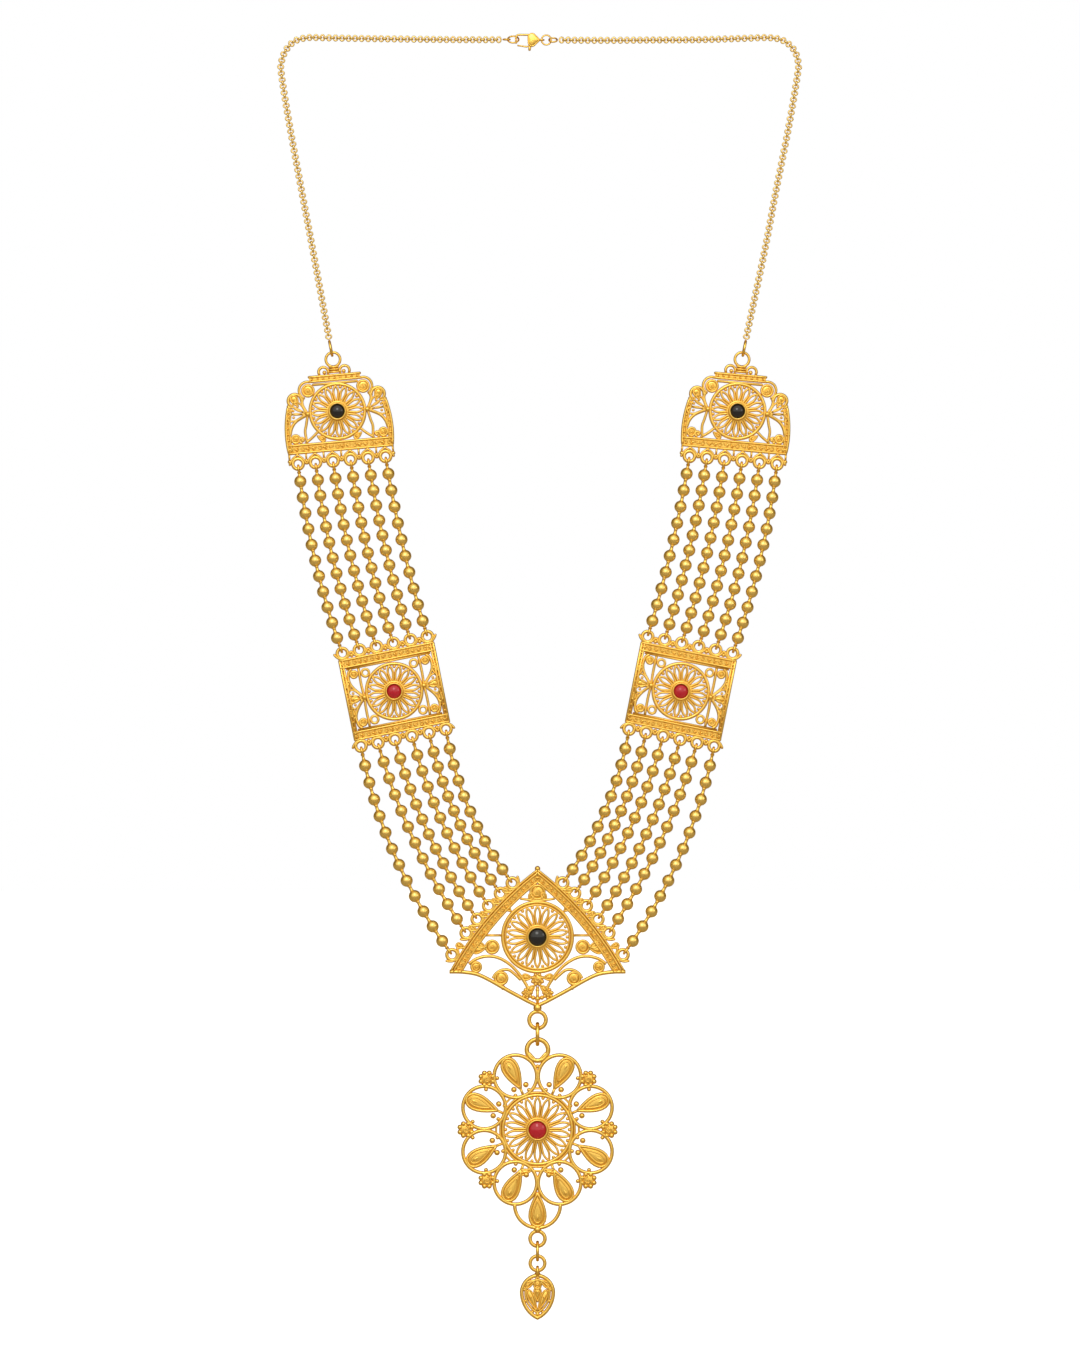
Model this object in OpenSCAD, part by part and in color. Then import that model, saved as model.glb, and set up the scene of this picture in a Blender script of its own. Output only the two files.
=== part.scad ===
// Long ceremonial necklace in yellow gold, as it hangs: a neck chain with a clasp, two plaques on each
// side, strings of beads between them, a centre plaque, and a medallion with a leaf drop below it.
// The front faces -Y and up is +Z. The origin is the place where the top of the loop is held up.

/* [Neck chain] */
// Thickness of the neck chain
chain_d = 2; // [1.6:0.1:2.2]
// Clear space between pieces that lie next to each other
piece_gap = 0.12; // [0.1:0.01:0.15]

/* [Plaques] */
// Distance of the top plaques from the middle line
top_plaque_x = 60; // [58:0.5:62]
// Depth of the top plaques' stones below the top of the loop
top_plaque_drop = 111.4; // [110:0.5:113]
// Tilt of the top plaques
top_plaque_tilt = 5; // [3:0.5:7]
// Distance of the middle plaques from the middle line
mid_plaque_x = 43; // [42:0.5:45]
// Depth of the middle plaques' stones below the top of the loop
mid_plaque_drop = 195.4; // [194:0.5:197]
// Tilt of the middle plaques
mid_plaque_tilt = 11.3; // [10:0.5:13]
// Depth of the centre plaque's stone below the top of the loop
centre_drop = 269.1; // [268:0.5:271]
// Half width of the centre plaque
centre_half_w = 26.4; // [25:0.2:27]
// Height of the centre plaque's point above its stone
centre_apex = 20.5; // [20:0.1:21.5]
// Thickness of the pierced sheet
sheet_t = 1; // [0.8:0.1:1.2]
// Thickness of the raised bars and borders
bar_t = 1.6; // [1.4:0.1:2]

/* [Medallion and drop] */
// Depth of the medallion's stone below the top of the loop
medallion_drop = 326.9; // [326.6:0.1:327.2]
// Radius of the circle on which the medallion's wire rings stand
petal_orbit = 17.3; // [17.1:0.1:17.5]
// Radius of each wire ring, to the middle of the wire
petal_r = 6.4; // [6.3:0.1:6.6]
// Width of the leaf drop
leaf_w = 10.7; // [10:0.1:11.5]

/* [Stones] */
// Radius of the stones in the side plaques
side_stone_r = 2.1; // [2:0.05:2.2]
// Radius of the stones in the centre plaque and the medallion
main_stone_r = 2.6; // [2.5:0.05:2.7]

/* [Strings of beads] */
// Diameter of the beads
bead_d = 3.5; // [3.2:0.1:3.6]
// Diameter of the wire that runs through the beads
thread_d = 0.7; // [0.6:0.05:0.75]
// Diameter of the small rings at the ends of the strings, their wire
eye_wire_d = 0.8; // [0.75:0.05:0.85]

/* [Hidden] */
$fn = 32;

GOLD = "goldenrod";
LIGHT_GOLD = "gold";
BLACK_STONE = "black";
RED_STONE = "firebrick";
LEFT = -1;
RIGHT = 1;

// Strings, from the outer one to the inner one: number of beads, and how far the string bows outward.
UPPER_STRINGS = [[11, 1.6], [11, 1.5], [11, 1.4], [11, 1.3], [11, 1.1], [10, 1.0]];
LOWER_STRINGS = [[12, 3.8], [11, 2.5], [11, 2.6], [10, 2.4], [10, 2.7], [9, 3.1]];
string_count = len(UPPER_STRINGS);
// From a plaque's loop to the middle of the bead next to it: at a string's top and at its bottom end.
upper_ends = [5.3, 4.95];
lower_ends = [6, 5.1];
bead_clearance = 0.15;
tube_sides = 8;
string_tube_rings = 6;

// Loops that hold the strings: radius to the middle of the wire, and the wire.
loop_r = 1.45;
loop_wire_d = 0.85;
top_loop_pitch = 5.27;
top_loop_y = -14.7;
mid_loop_pitch = 5.2;
mid_loop_y = 14.15;
eye_r = 1;

// Top plaque, in its own plane with the stone at its middle.
top_half_w = 16;
top_band_low = -13.1;
top_band_high = -8.7;
top_bar_half_w = 8.2;
top_bar_low = 8.8;
top_bar_high = 11.4;
hanger_ring_y = 15.6;
hanger_ring_r = 2.15;
hanger_ring_wire_d = 0.85;
hanger_link_r = 2.2;
hanger_link_wire_d = 0.8;

// Middle plaque.
mid_half_w = 14.8;
mid_bar_inner = 9;
mid_bar_outer = 12.6;
border_w = 1.7;

// Round flower of wire about each stone.
side_flower_r = 8.4;
main_flower_r = 10.5;
flower_wire = 0.9;
flower_spokes = 8;
spoke_w = 1.1;
fine_wire = 0.6;
bezel_wall = 0.65;
bezel_high = 2.2;
seat_high = 0.9;
stone_gap = 0.06;
stone_girdle_h = 0.6;
stone_dome_h = 0.95;

// Centre plaque.
centre_tip_y = -10.4;
centre_bar_w = 3.15;
centre_bulge = 2.2;
centre_neck_y = -20.6;
// Loops along its edge, from the point to the tip: distance along the edge, and out from its chord.
CENTRE_LOOPS = [[8.2, 2.9], [12.9, 3.6], [18, 3.9], [23.3, 3.9], [28.6, 3.7], [36.3, 2.7]];
peg_h = 1.4;
pendant_ring_y = -24.9;
pendant_ring_r = 2.52;
pendant_ring_wire_d = 1.26;

// Pendant link, seen from its edge, and the medallion's own loop.
pendant_link_wire_d = 1.2;
medallion_loop_y = 23.9;
medallion_loop_r = 3.1;
medallion_loop_wire_d = 1.3;
cluster_orbit = 21.6;
cluster_r = 2.5;
CLUSTER_ANGLES = [0, 45, 135, 180, 225, 315];
lower_petal_y = -22.6;
lower_petal_r = 6.85;
petal_wire = 0.9;
drop_eye_y = -32.7;
drop_eye_r = 2.24;
drop_eye_wire_d = 1.17;

// Drop.
drop_link_wire_d = 1;
drop_ring_r = 2.2;
drop_ring_wire_d = 1.1;
bail_r = 1.21;
bail_wire_d = 0.9;
leaf_h = 13.6;
leaf_shoulder = 5.2;

// Clasp: its middle lies at the origin, and its hook opens to the left.
clasp_body_t = 1.7;
clasp_slot_t = 1;
hook_t = 0.8;
hook_left_x = -6.75;
hook_wire = 0.6;
hook_top_z = 1.85;
hook_arm_h = 0.65;
hook_nose_z = -1.05;
lever_t = 0.8;
pin_x = -1.7;
pin_z = -1.35;
pin_r = 0.3;
pin_clearance = 0.04;
lever_hub_r = 0.62;
// How far the lever's tip lies below the hook's nose.
lever_drop = 0.36;
clasp_eye_x = 1.2;
clasp_eye_r = 0.7;
clasp_ring_wire_d = 0.5;
left_ring_r = 1.65;
left_ring_x = -7.29;
left_ring_z = 0.15;
left_ring_tilt = 48;
left_link_r = 1;
left_link_x = -9.28;
right_ring_r = 1.45;
right_link_r = 1.2;
right_link_tilt = 55;

// Routes of the neck chain in the plane of the necklace, from the clasp to the top plaque.
LEFT_ROUTE = [
    [-10.7, 0.1], [-23, 0.1], [-41, 0.3], [-56, 0.5], [-65, 0.7], [-69, 0.7], [-72.8, -0.3],
    [-75.5, -3.1], [-76.8, -6.6], [-76.8, -10.5], [-74.3, -26], [-70.8, -45], [-67.4, -63], [-63, -87],
    [-62.6, -89.6],
];
RIGHT_ROUTE = [
    [6.3, 0], [19, -0.1], [34, 0], [49, 0.1], [62, 0.5], [69.5, 0.7], [73.8, -0.2], [76.9, -2.9],
    [78.2, -6.6], [78, -10.5], [75.2, -27], [71.6, -45], [68.2, -63], [63.1, -87], [62.6, -89.6],
];

// Turns the drawing plane up, so that a plaque's own x, y and z are right, up and to the front.
module upright(x, z, tilt = 0) {
    translate([x, 0, z]) rotate([90, 0, 0]) rotate([0, 0, tilt]) children();
}

// What is drawn for the left side is mirrored for the right one.
module on_side(side) {
    if (side == LEFT) children();
    else mirror([1, 0, 0]) children();
}

// Wire of round section bent to a ring in the drawing plane.
module round_ring(r, wire_d) {
    rotate_extrude($fn = 48) translate([r, 0]) circle(d = wire_d, $fn = 24);
}

// The same ring seen from its edge, its plane holding the direction at the given angle.
module edge_ring(centre, angle, r, wire_d) {
    translate([centre[0], centre[1], 0]) rotate([0, 0, angle]) rotate([90, 0, 0]) round_ring(r, wire_d);
}

function turned(p, a) = [p[0] * cos(a) - p[1] * sin(a), p[0] * sin(a) + p[1] * cos(a)];
function unit(v) = v / norm(v);
function ray(r, a) = [r * cos(a), r * sin(a)];
function arc_points(c, r, a, b, steps) = [for (i = [0 : steps]) c + ray(r, a + (b - a) * i / steps)];
function backward(list) = [for (i = [len(list) - 1 : -1 : 0]) list[i]];

// A bowed line from p to q is part of a circle: [centre, radius, angle at p, angle at q].
function bow(p, q, rise) =
    let (
        half = norm(q - p) / 2,
        r = (half * half + rise * rise) / (2 * rise),
        d = unit(q - p),
        out = [d[1], -d[0]],
        c = (p + q) / 2 - out * (r - rise),
        mid_angle = atan2(out[1], out[0]),
        swing = asin(half / r)
    )
    [c, r, mid_angle - swing, mid_angle + swing];
function bow_length(b) = b[1] * (b[3] - b[2]) * PI / 180;
function bow_angle(b, along) = b[2] + along / b[1] * 180 / PI;
function bow_point(b, along) = b[0] + ray(b[1], bow_angle(b, along));

// Flat wires of the pierced work.
module flat_ring(c, r, w) {
    translate(c) difference() {
        circle(r + w / 2);
        circle(r - w / 2);
    }
}

module flat_arc(c, r, a, b, w, steps = 16) {
    polygon(concat(arc_points(c, r + w / 2, a, b, steps), backward(arc_points(c, r - w / 2, a, b, steps))));
}

module flat_bow(p, q, rise, w) {
    b = bow(p, q, rise);
    flat_arc(b[0], b[1], b[2], b[3], w);
}

module flat_line(p, q, w) {
    side = turned(unit(q - p), 90) * w / 2;
    polygon([p + side, q + side, q - side, p - side]);
}

module flat_disc(c, r) {
    translate(c) circle(r, $fn = 24);
}

module flat_flower(r) {
    flat_ring([0, 0], r, flower_wire);
    for (i = [0 : flower_spokes - 1]) {
        angle = (i + 0.5) * 360 / flower_spokes;
        flat_line(ray(1, angle), ray(r, angle), spoke_w);
    }
}

// One outline of a whole drawing, made to a sheet with its middle in the drawing plane.
module sheet(t) {
    translate([0, 0, -t / 2]) linear_extrude(t) offset(delta = 0.01) children();
}

// Round cup that holds a stone, open to the front.
module bezel(stone_r) {
    outer_r = stone_r + stone_gap + bezel_wall;
    translate([0, 0, -sheet_t / 2]) difference() {
        cylinder(r = outer_r, h = bezel_high + sheet_t / 2, $fn = 48);
        translate([0, 0, seat_high + sheet_t / 2])
            cylinder(r = stone_r + stone_gap, h = bezel_high, $fn = 48);
    }
}

// Smooth round stone with a straight edge and a low dome.
module stone(r) {
    dome_r = (r * r + stone_dome_h * stone_dome_h) / (2 * stone_dome_h);
    base = seat_high + stone_gap;
    intersection() {
        translate([0, 0, base]) cylinder(r = r, h = stone_girdle_h + stone_dome_h, $fn = 48);
        translate([0, 0, base + stone_girdle_h + stone_dome_h - dome_r]) sphere(dome_r, $fn = 64);
    }
}

// Places of a plaque's loops in its own plane, from the outer one to the inner one.
function loop_row(pitch, y) = [for (i = [0 : string_count - 1]) [(i - (string_count - 1) / 2) * pitch, y]];
top_loops = loop_row(top_loop_pitch, top_loop_y);
mid_upper_loops = loop_row(mid_loop_pitch, mid_loop_y);
mid_lower_loops = loop_row(mid_loop_pitch, -mid_loop_y);

module loops(places) {
    for (p = places) translate([p[0], p[1], 0]) round_ring(loop_r, loop_wire_d);
}

module top_plaque_drawing() {
    flat_flower(side_flower_r);
    translate([-top_half_w, top_band_low]) square([2 * top_half_w, top_band_high - top_band_low]);
    translate([-top_bar_half_w, top_bar_low]) square([2 * top_bar_half_w, top_bar_high - top_bar_low]);
    for (s = [0, 1]) mirror([s, 0]) {
        // Curved border, then the open scallop and the filled scroll of the shoulder.
        flat_arc([-16.4, -6.5], 32, -12, 16.5, border_w);
        flat_arc([12.5, 3.7], 2.1, -30, 160, 0.8);
        flat_disc([8.7, 7], 2.8);
        // Leaves between the flower and the border, and the wires that fan out from them.
        polygon([[8.6, -0.3], [14.6, 2.6], [15.6, -3.4]]);
        flat_disc([9.2, -0.3], 1);
        flat_line([9.2, -0.3], [9.8, 5.2], fine_wire);
        flat_line([9.2, -0.3], [11.3, 5.4], fine_wire);
        flat_line([9.2, -0.3], [11.2, -9.2], fine_wire);
        flat_disc([13.3, -7.9], 1.9);
        flat_ring([3.4, 12.3], 1.35, 0.7);
    }
    // Knuckle of the ring that the plaque hangs on.
    translate([-1.1, top_bar_high - 0.2]) square([2.2, 2.4]);
}

module top_plaque(side) {
    color(GOLD) on_side(side) upright(-top_plaque_x, -top_plaque_drop, top_plaque_tilt) {
        sheet(sheet_t) top_plaque_drawing();
        sheet(bar_t) translate([-top_half_w, top_band_low])
            square([2 * top_half_w, top_band_high - top_band_low]);
        bezel(side_stone_r);
        loops(top_loops);
        translate([0, hanger_ring_y, 0]) round_ring(hanger_ring_r, hanger_ring_wire_d);
    }
}

module mid_plaque_drawing() {
    flat_flower(side_flower_r);
    for (s = [0, 1]) mirror([0, s]) translate([-mid_half_w, mid_bar_inner - 0.4])
        square([2 * mid_half_w, mid_bar_outer - mid_bar_inner + 0.4]);
    for (s = [0, 1]) mirror([s, 0]) {
        translate([mid_half_w - border_w, -mid_bar_outer]) square([border_w, 2 * mid_bar_outer]);
        flat_disc([9.2, 0], 1);
        polygon([[8.7, 0], [13.4, 3], [13.4, -3]]);
        for (t = [0, 1]) mirror([0, t]) {
            flat_disc([11.6, 7.2], 1.6);
            flat_line([9.2, 0], [11.4, 7.2], fine_wire);
            flat_line([9.2, 0], [8.8, 8.8], fine_wire);
        }
    }
}

module mid_plaque(side) {
    color(GOLD) on_side(side) upright(-mid_plaque_x, -mid_plaque_drop, mid_plaque_tilt) {
        sheet(sheet_t) mid_plaque_drawing();
        for (s = [0, 1]) mirror([0, s, 0]) sheet(bar_t) translate([-mid_half_w, mid_bar_inner])
            square([2 * mid_half_w, mid_bar_outer - mid_bar_inner]);
        bezel(side_stone_r);
        loops(mid_upper_loops);
        loops(mid_lower_loops);
    }
}

apex = [0, centre_apex];
left_tip = [-centre_half_w, centre_tip_y];
edge_way = unit(left_tip - apex);
edge_out = [edge_way[1], -edge_way[0]];
centre_loop_places = [
    for (i = [string_count - 1 : -1 : 0])
        apex + edge_way * CENTRE_LOOPS[i][0] + edge_out * CENTRE_LOOPS[i][1]
];

// Broad bar along the left upper edge of the centre plaque, cut off at the middle line and at the tip.
module centre_bar() {
    b = bow(apex, left_tip, centre_bulge);
    intersection() {
        flat_arc(b[0], b[1] - centre_bar_w / 2, b[2] - 3, b[3] + 3, centre_bar_w, 24);
        translate([-2 * centre_half_w, centre_tip_y - 0.5]) square([2 * centre_half_w, 3 * centre_apex]);
    }
}

module centre_plaque_drawing() {
    flat_flower(main_flower_r);
    // Spiral under the point, and the flowers above the neck.
    flat_disc([0, 13.2], 2.5);
    flat_disc([0, -12.2], 2);
    flat_disc([0, -16.6], 1.6);
    flat_line([0, -main_flower_r], [0, centre_neck_y], 1);
    translate([-1.2, centre_neck_y - 1.6]) square([2.4, 3.6]);
    for (s = [0, 1]) mirror([s, 0]) {
        centre_bar();
        flat_bow([0, centre_neck_y], left_tip, 1.7, 1);
        // Leaves beside the flower, the arches below it, and their scrolls.
        flat_disc([-13.3, -3.2], 2.4);
        flat_line([-main_flower_r, -3], [-19.5, -3], 1.4);
        flat_arc([-13.5, -15.5], 9.2, -8, 140, 0.8);
        flat_arc([-9.4, -16.6], 5.9, -12, 110, 0.8);
        flat_disc([-19, -8.7], 1.8);
        flat_disc([-11.6, -12.9], 2.2);
        flat_disc([-3.6, -17.6], 1.7);
    }
}

module centre_plaque() {
    color(GOLD) upright(0, -centre_drop) {
        sheet(sheet_t) centre_plaque_drawing();
        sheet(bar_t) for (s = [0, 1]) mirror([s, 0]) centre_bar();
        bezel(main_stone_r);
        for (s = [0, 1]) mirror([s, 0, 0]) {
            loops(centre_loop_places);
            // Short pegs that carry the loops on the bar.
            for (p = centre_loop_places) {
                peg = p - edge_out * loop_r;
                translate([peg[0], peg[1], 0]) rotate([0, 0, atan2(edge_out[1], edge_out[0])])
                    rotate([0, -90, 0]) cylinder(d = loop_wire_d + 0.15, h = peg_h, $fn = 24);
            }
        }
        translate([0, pendant_ring_y, 0]) round_ring(pendant_ring_r, pendant_ring_wire_d);
    }
}

// Places where the left strings begin and end, in the plane of the necklace.
function on_top_plaque(p) = [-top_plaque_x, -top_plaque_drop] + turned(p, top_plaque_tilt);
function on_mid_plaque(p) = [-mid_plaque_x, -mid_plaque_drop] + turned(p, mid_plaque_tilt);
function upper_bow(i) = bow(on_top_plaque(top_loops[i]), on_mid_plaque(mid_upper_loops[i]), UPPER_STRINGS[i][1]);
function lower_bow(i) =
    bow(on_mid_plaque(mid_lower_loops[i]), [0, -centre_drop] + centre_loop_places[i], LOWER_STRINGS[i][1]);
// The small ring at a string's end hangs in the plaque's loop with a small gap.
eye_along = loop_r + eye_r - eye_wire_d / 2 - loop_wire_d / 2 - piece_gap;

// Beads, evenly along a bowed line.
module beads(b, count, ends) {
    first = ends[0];
    last = bow_length(b) - ends[1];
    for (k = [0 : count - 1]) {
        along = first + (last - first) * k / (count - 1);
        place = bow_point(b, along);
        translate([place[0], place[1], 0]) rotate([0, 0, bow_angle(b, along)]) difference() {
            sphere(d = bead_d, $fn = 32);
            rotate([90, 0, 0])
                cylinder(d = thread_d + 2 * bead_clearance, h = bead_d + 2, center = true, $fn = 24);
        }
    }
}

// Wire through the beads with a small ring at each end.
module thread(b) {
    from = eye_along + eye_r;
    to = bow_length(b) - from;
    translate([b[0][0], b[0][1], 0]) rotate([0, 0, bow_angle(b, from)])
        rotate_extrude(angle = bow_angle(b, to) - bow_angle(b, from), $fn = 96)
            translate([b[1], 0]) circle(d = thread_d, $fn = 24);
    for (along = [eye_along, bow_length(b) - eye_along])
        edge_ring(bow_point(b, along), bow_angle(b, along) + 90, eye_r, eye_wire_d);
}

// A small ring with its stem, at one end of a string that is drawn as a tube.
module end_link(b, along, stem) {
    edge_ring(bow_point(b, along), bow_angle(b, along) + 90, eye_r, eye_wire_d);
    start = bow_point(b, along + sign(stem) * eye_r);
    turn = sign(stem) > 0 ? bow_angle(b, along) : bow_angle(b, along) + 180;
    translate([start[0], start[1], 0]) rotate([0, 0, turn]) rotate([-90, 0, 0])
        cylinder(d = thread_d, h = abs(stem), $fn = 24);
}

module upper_end_links(side) {
    stem_top = upper_ends[0] - bead_d / 2 - eye_along - eye_r - piece_gap;
    stem_low = upper_ends[1] - bead_d / 2 - eye_along - eye_r - piece_gap;
    color(GOLD) on_side(side) upright(0, 0) for (i = [0 : string_count - 1]) {
        b = upper_bow(i);
        end_link(b, eye_along, stem_top);
        end_link(b, bow_length(b) - eye_along, -stem_low);
    }
}

// Tube along points of the drawing plane: one ring of corners at each point, across the mean direction.
module tube(points, d) {
    n = len(points);
    ways = [
        for (i = [0 : n - 1])
            unit((i == 0 ? [0, 0] : unit(points[i] - points[i - 1]))
                + (i == n - 1 ? [0, 0] : unit(points[i + 1] - points[i])))
    ];
    corners = [
        for (i = [0 : n - 1]) let (out = turned(ways[i], 90))
            for (k = [0 : tube_sides - 1]) let (a = 360 * (k + 0.5) / tube_sides)
                [
                    points[i][0] + out[0] * cos(a) * d / 2,
                    points[i][1] + out[1] * cos(a) * d / 2,
                    sin(a) * d / 2,
                ]
    ];
    walls = [
        for (i = [0 : n - 2], k = [0 : tube_sides - 1]) let (next = (k + 1) % tube_sides)
            [
                i * tube_sides + k, (i + 1) * tube_sides + k,
                (i + 1) * tube_sides + next, i * tube_sides + next,
            ]
    ];
    first_cap = [for (k = [0 : tube_sides - 1]) k];
    last_cap = [for (k = [tube_sides - 1 : -1 : 0]) (n - 1) * tube_sides + k];
    polyhedron(points = corners, faces = concat(walls, [first_cap, last_cap]), convexity = 4);
}

module upper_string(side, number) {
    b = upper_bow(number - 1);
    from = upper_ends[0] - bead_d / 2;
    to = bow_length(b) - upper_ends[1] + bead_d / 2;
    places = [for (i = [0 : string_tube_rings - 1]) bow_point(b, from + (to - from) * i / (string_tube_rings - 1))];
    color(LIGHT_GOLD) on_side(side) upright(0, 0) tube(places, bead_d);
}

module lower_string(side, number) {
    i = number - 1;
    color(LIGHT_GOLD) on_side(side) upright(0, 0) beads(lower_bow(i), LOWER_STRINGS[i][0], lower_ends);
}

module lower_threads(side) {
    color(GOLD) on_side(side) upright(0, 0) for (i = [0 : string_count - 1]) thread(lower_bow(i));
}

module chain(route) {
    color(LIGHT_GOLD) upright(0, 0) tube(route, chain_d);
}

// The ring between a top plaque's hanging ring and the end of the chain.
module hanger_link(side) {
    ring = on_top_plaque([0, hanger_ring_y]);
    way = unit(LEFT_ROUTE[len(LEFT_ROUTE) - 1] - ring);
    out = hanger_ring_r - (hanger_ring_wire_d + hanger_link_wire_d) / 2 - piece_gap + hanger_link_r;
    color(GOLD) on_side(side) upright(0, 0)
        edge_ring(ring + way * out, atan2(way[1], way[0]), hanger_link_r, hanger_link_wire_d);
}

// Clasp body: a heart with a slot for the lever, and a hook that reaches to the left.
module clasp_heart() {
    polygon([[-2.6, 1.9], [0.6, 0.35], [0.6, -0.35], [-2.6, -1.7]]);
    translate([-1.65, 0.75]) circle(1.35);
    translate([-1.65, -0.75]) circle(1.3);
}

module clasp_hook() {
    translate([hook_left_x, hook_top_z - hook_arm_h]) square([-hook_left_x - 1.65, hook_arm_h]);
    translate([hook_left_x, hook_nose_z]) square([hook_wire, hook_top_z - hook_nose_z]);
}

module clasp_body() {
    color(GOLD) upright(0, 0) {
        difference() {
            sheet(clasp_body_t) clasp_heart();
            translate([0, 0, -clasp_slot_t / 2]) linear_extrude(clasp_slot_t)
                polygon([[-3.6, -0.2], [-2.3, -0.35], [-0.9, -0.5], [-0.7, -3], [-3.6, -3]]);
        }
        sheet(hook_t) clasp_hook();
        translate([pin_x, pin_z, -clasp_body_t / 2]) cylinder(r = pin_r, h = clasp_body_t, $fn = 32);
        translate([clasp_eye_x, 0, 0]) rotate([90, 0, 0]) round_ring(clasp_eye_r, clasp_ring_wire_d);
    }
}

// Lever: a hub on the pin, an arm that closes inside the hook's nose, and a thumb piece below.
module clasp_lever() {
    tip_high = hook_nose_z - lever_drop;
    tip_x = hook_left_x + hook_wire + piece_gap;
    color(LIGHT_GOLD) upright(0, 0) translate([0, 0, -lever_t / 2]) difference() {
        union() {
            translate([pin_x, pin_z, 0]) cylinder(r = lever_hub_r, h = lever_t, $fn = 32);
            linear_extrude(lever_t) polygon([
                [pin_x, pin_z + 0.3], [-3.2, tip_high - 0.35], [-5.3, tip_high], [tip_x + 0.1, tip_high],
                [tip_x + 0.05, tip_high - 0.45], [-5.2, tip_high - 0.5], [-2.9, tip_high - 1.05],
                [-2.9, -3.1], [-1.9, -3.1], [pin_x + 0.2, pin_z - 0.3],
            ]);
        }
        translate([pin_x, pin_z, -1]) cylinder(r = pin_r + pin_clearance, h = lever_t + 2, $fn = 32);
    }
}

module clasp_left_ring() {
    color(GOLD) translate([left_ring_x, 0, left_ring_z]) rotate([90 - left_ring_tilt, 0, 0])
        round_ring(left_ring_r, clasp_ring_wire_d);
}

module clasp_right_ring() {
    color(GOLD) upright(clasp_eye_x + right_ring_r, 0) round_ring(right_ring_r, clasp_ring_wire_d);
}

module left_clasp_link() {
    color(GOLD) translate([left_link_x, 0, left_ring_z]) round_ring(left_link_r, clasp_ring_wire_d);
}

module right_clasp_link() {
    x = clasp_eye_x + 2 * right_ring_r - clasp_ring_wire_d - piece_gap + right_link_r;
    color(GOLD) translate([x, 0, 0]) rotate([90 - right_link_tilt, 0, 0])
        round_ring(right_link_r, clasp_ring_wire_d);
}

// Medallion: a flower of wire within eight wire rings, each with a drop-shaped leaf.
module leaf_shape(place, angle, r, reach) {
    translate(place) rotate(angle) union() {
        circle(r, $fn = 24);
        polygon([ray(r, 100), [-reach, 0.35], [-reach, -0.35], ray(r, -100)]);
    }
}

module medallion_drawing() {
    flat_flower(main_flower_r);
    for (i = [0 : 7]) {
        angle = 22.5 + 45 * i;
        // The leaf leans to the diagonal beside its ring.
        lean = (i % 2 == 0) ? 4 : -4;
        flat_ring(ray(petal_orbit, angle), petal_r, petal_wire);
        leaf_shape(ray(petal_orbit + 3.3, angle + lean), angle + lean, 2.9, 9.6);
    }
    for (angle = CLUSTER_ANGLES) flat_disc(ray(cluster_orbit, angle), cluster_r);
    flat_arc([0, lower_petal_y], lower_petal_r, 177, 363, petal_wire, 24);
    leaf_shape([0, -26.2], -90, 2.9, 6.4);
    flat_disc([0, -19.6], 0.9);
    polygon([[-2.6, 21.8], [2.6, 21.8], [0.5, 15.5], [-0.5, 15.5]]);
    translate([-1.1, drop_eye_y + 1.7]) square([2.2, 2.2]);
}

module medallion() {
    color(GOLD) upright(0, -medallion_drop) {
        sheet(sheet_t) medallion_drawing();
        bezel(main_stone_r);
        translate([0, medallion_loop_y, 0]) round_ring(medallion_loop_r, medallion_loop_wire_d);
        translate([0, drop_eye_y, 0]) round_ring(drop_eye_r, drop_eye_wire_d);
    }
}

// A ring seen from its edge that joins two rings above each other: from the lowest wire of the upper
// ring, at z_top with wire d_top, to the highest wire of the lower ring.
module joining_ring(z_top, d_top, z_low, d_low, wire_d) {
    high = z_top + d_top / 2 + piece_gap + wire_d / 2;
    low = z_low - d_low / 2 - piece_gap - wire_d / 2;
    upright(0, 0) edge_ring([0, (high + low) / 2], 90, (high - low) / 2, wire_d);
}

pendant_ring_low = -centre_drop + pendant_ring_y - pendant_ring_r;
medallion_loop_high = -medallion_drop + medallion_loop_y + medallion_loop_r;
drop_eye_low = -medallion_drop + drop_eye_y - drop_eye_r;
drop_ring_z = -367;
drop_ring_high = drop_ring_z + drop_ring_r;

module pendant_link() {
    color(GOLD) joining_ring(
        pendant_ring_low, pendant_ring_wire_d, medallion_loop_high, medallion_loop_wire_d, pendant_link_wire_d
    );
}

module drop_link() {
    color(GOLD) joining_ring(drop_eye_low, drop_eye_wire_d, drop_ring_high, drop_ring_wire_d, drop_link_wire_d);
}

module drop_ring() {
    color(GOLD) upright(0, drop_ring_z) round_ring(drop_ring_r, drop_ring_wire_d);
}

// Spade-shaped leaf with pierced veins, its top at y = 0.
module leaf_drawing() {
    widest = [-leaf_w / 2, -leaf_shoulder];
    upper = bow([0, 0.2], widest, 1.35);
    lower = bow(widest, [0, -leaf_h], 1.35);
    difference() {
        for (s = [0, 1]) mirror([s, 0]) polygon(concat(
            [[0.1, 0.2]],
            arc_points(upper[0], upper[1], upper[2], upper[3], 8),
            arc_points(lower[0], lower[1], lower[2], lower[3], 8),
            [[0.1, -leaf_h]]
        ));
        for (s = [0, 1]) mirror([s, 0]) {
            polygon([[0.25, -9.6], [0.6, -7], [1.9, -5], [1.2, -8.4]]);
            polygon([[2.1, -9.4], [2.9, -5.2], [4.1, -4.6], [3.8, -7]]);
        }
    }
}

module leaf_drop() {
    bail_z = drop_ring_z - drop_ring_r + drop_ring_wire_d / 2 + piece_gap + bail_wire_d / 2 - bail_r;
    leaf_z = bail_z - bail_r + 0.2;
    color(GOLD) {
        upright(0, 0) edge_ring([0, bail_z], 90, bail_r, bail_wire_d);
        upright(0, leaf_z) sheet(bar_t) leaf_drawing();
    }
}

module top_stone(side) {
    color(BLACK_STONE) on_side(side) upright(-top_plaque_x, -top_plaque_drop) stone(side_stone_r);
}

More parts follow.
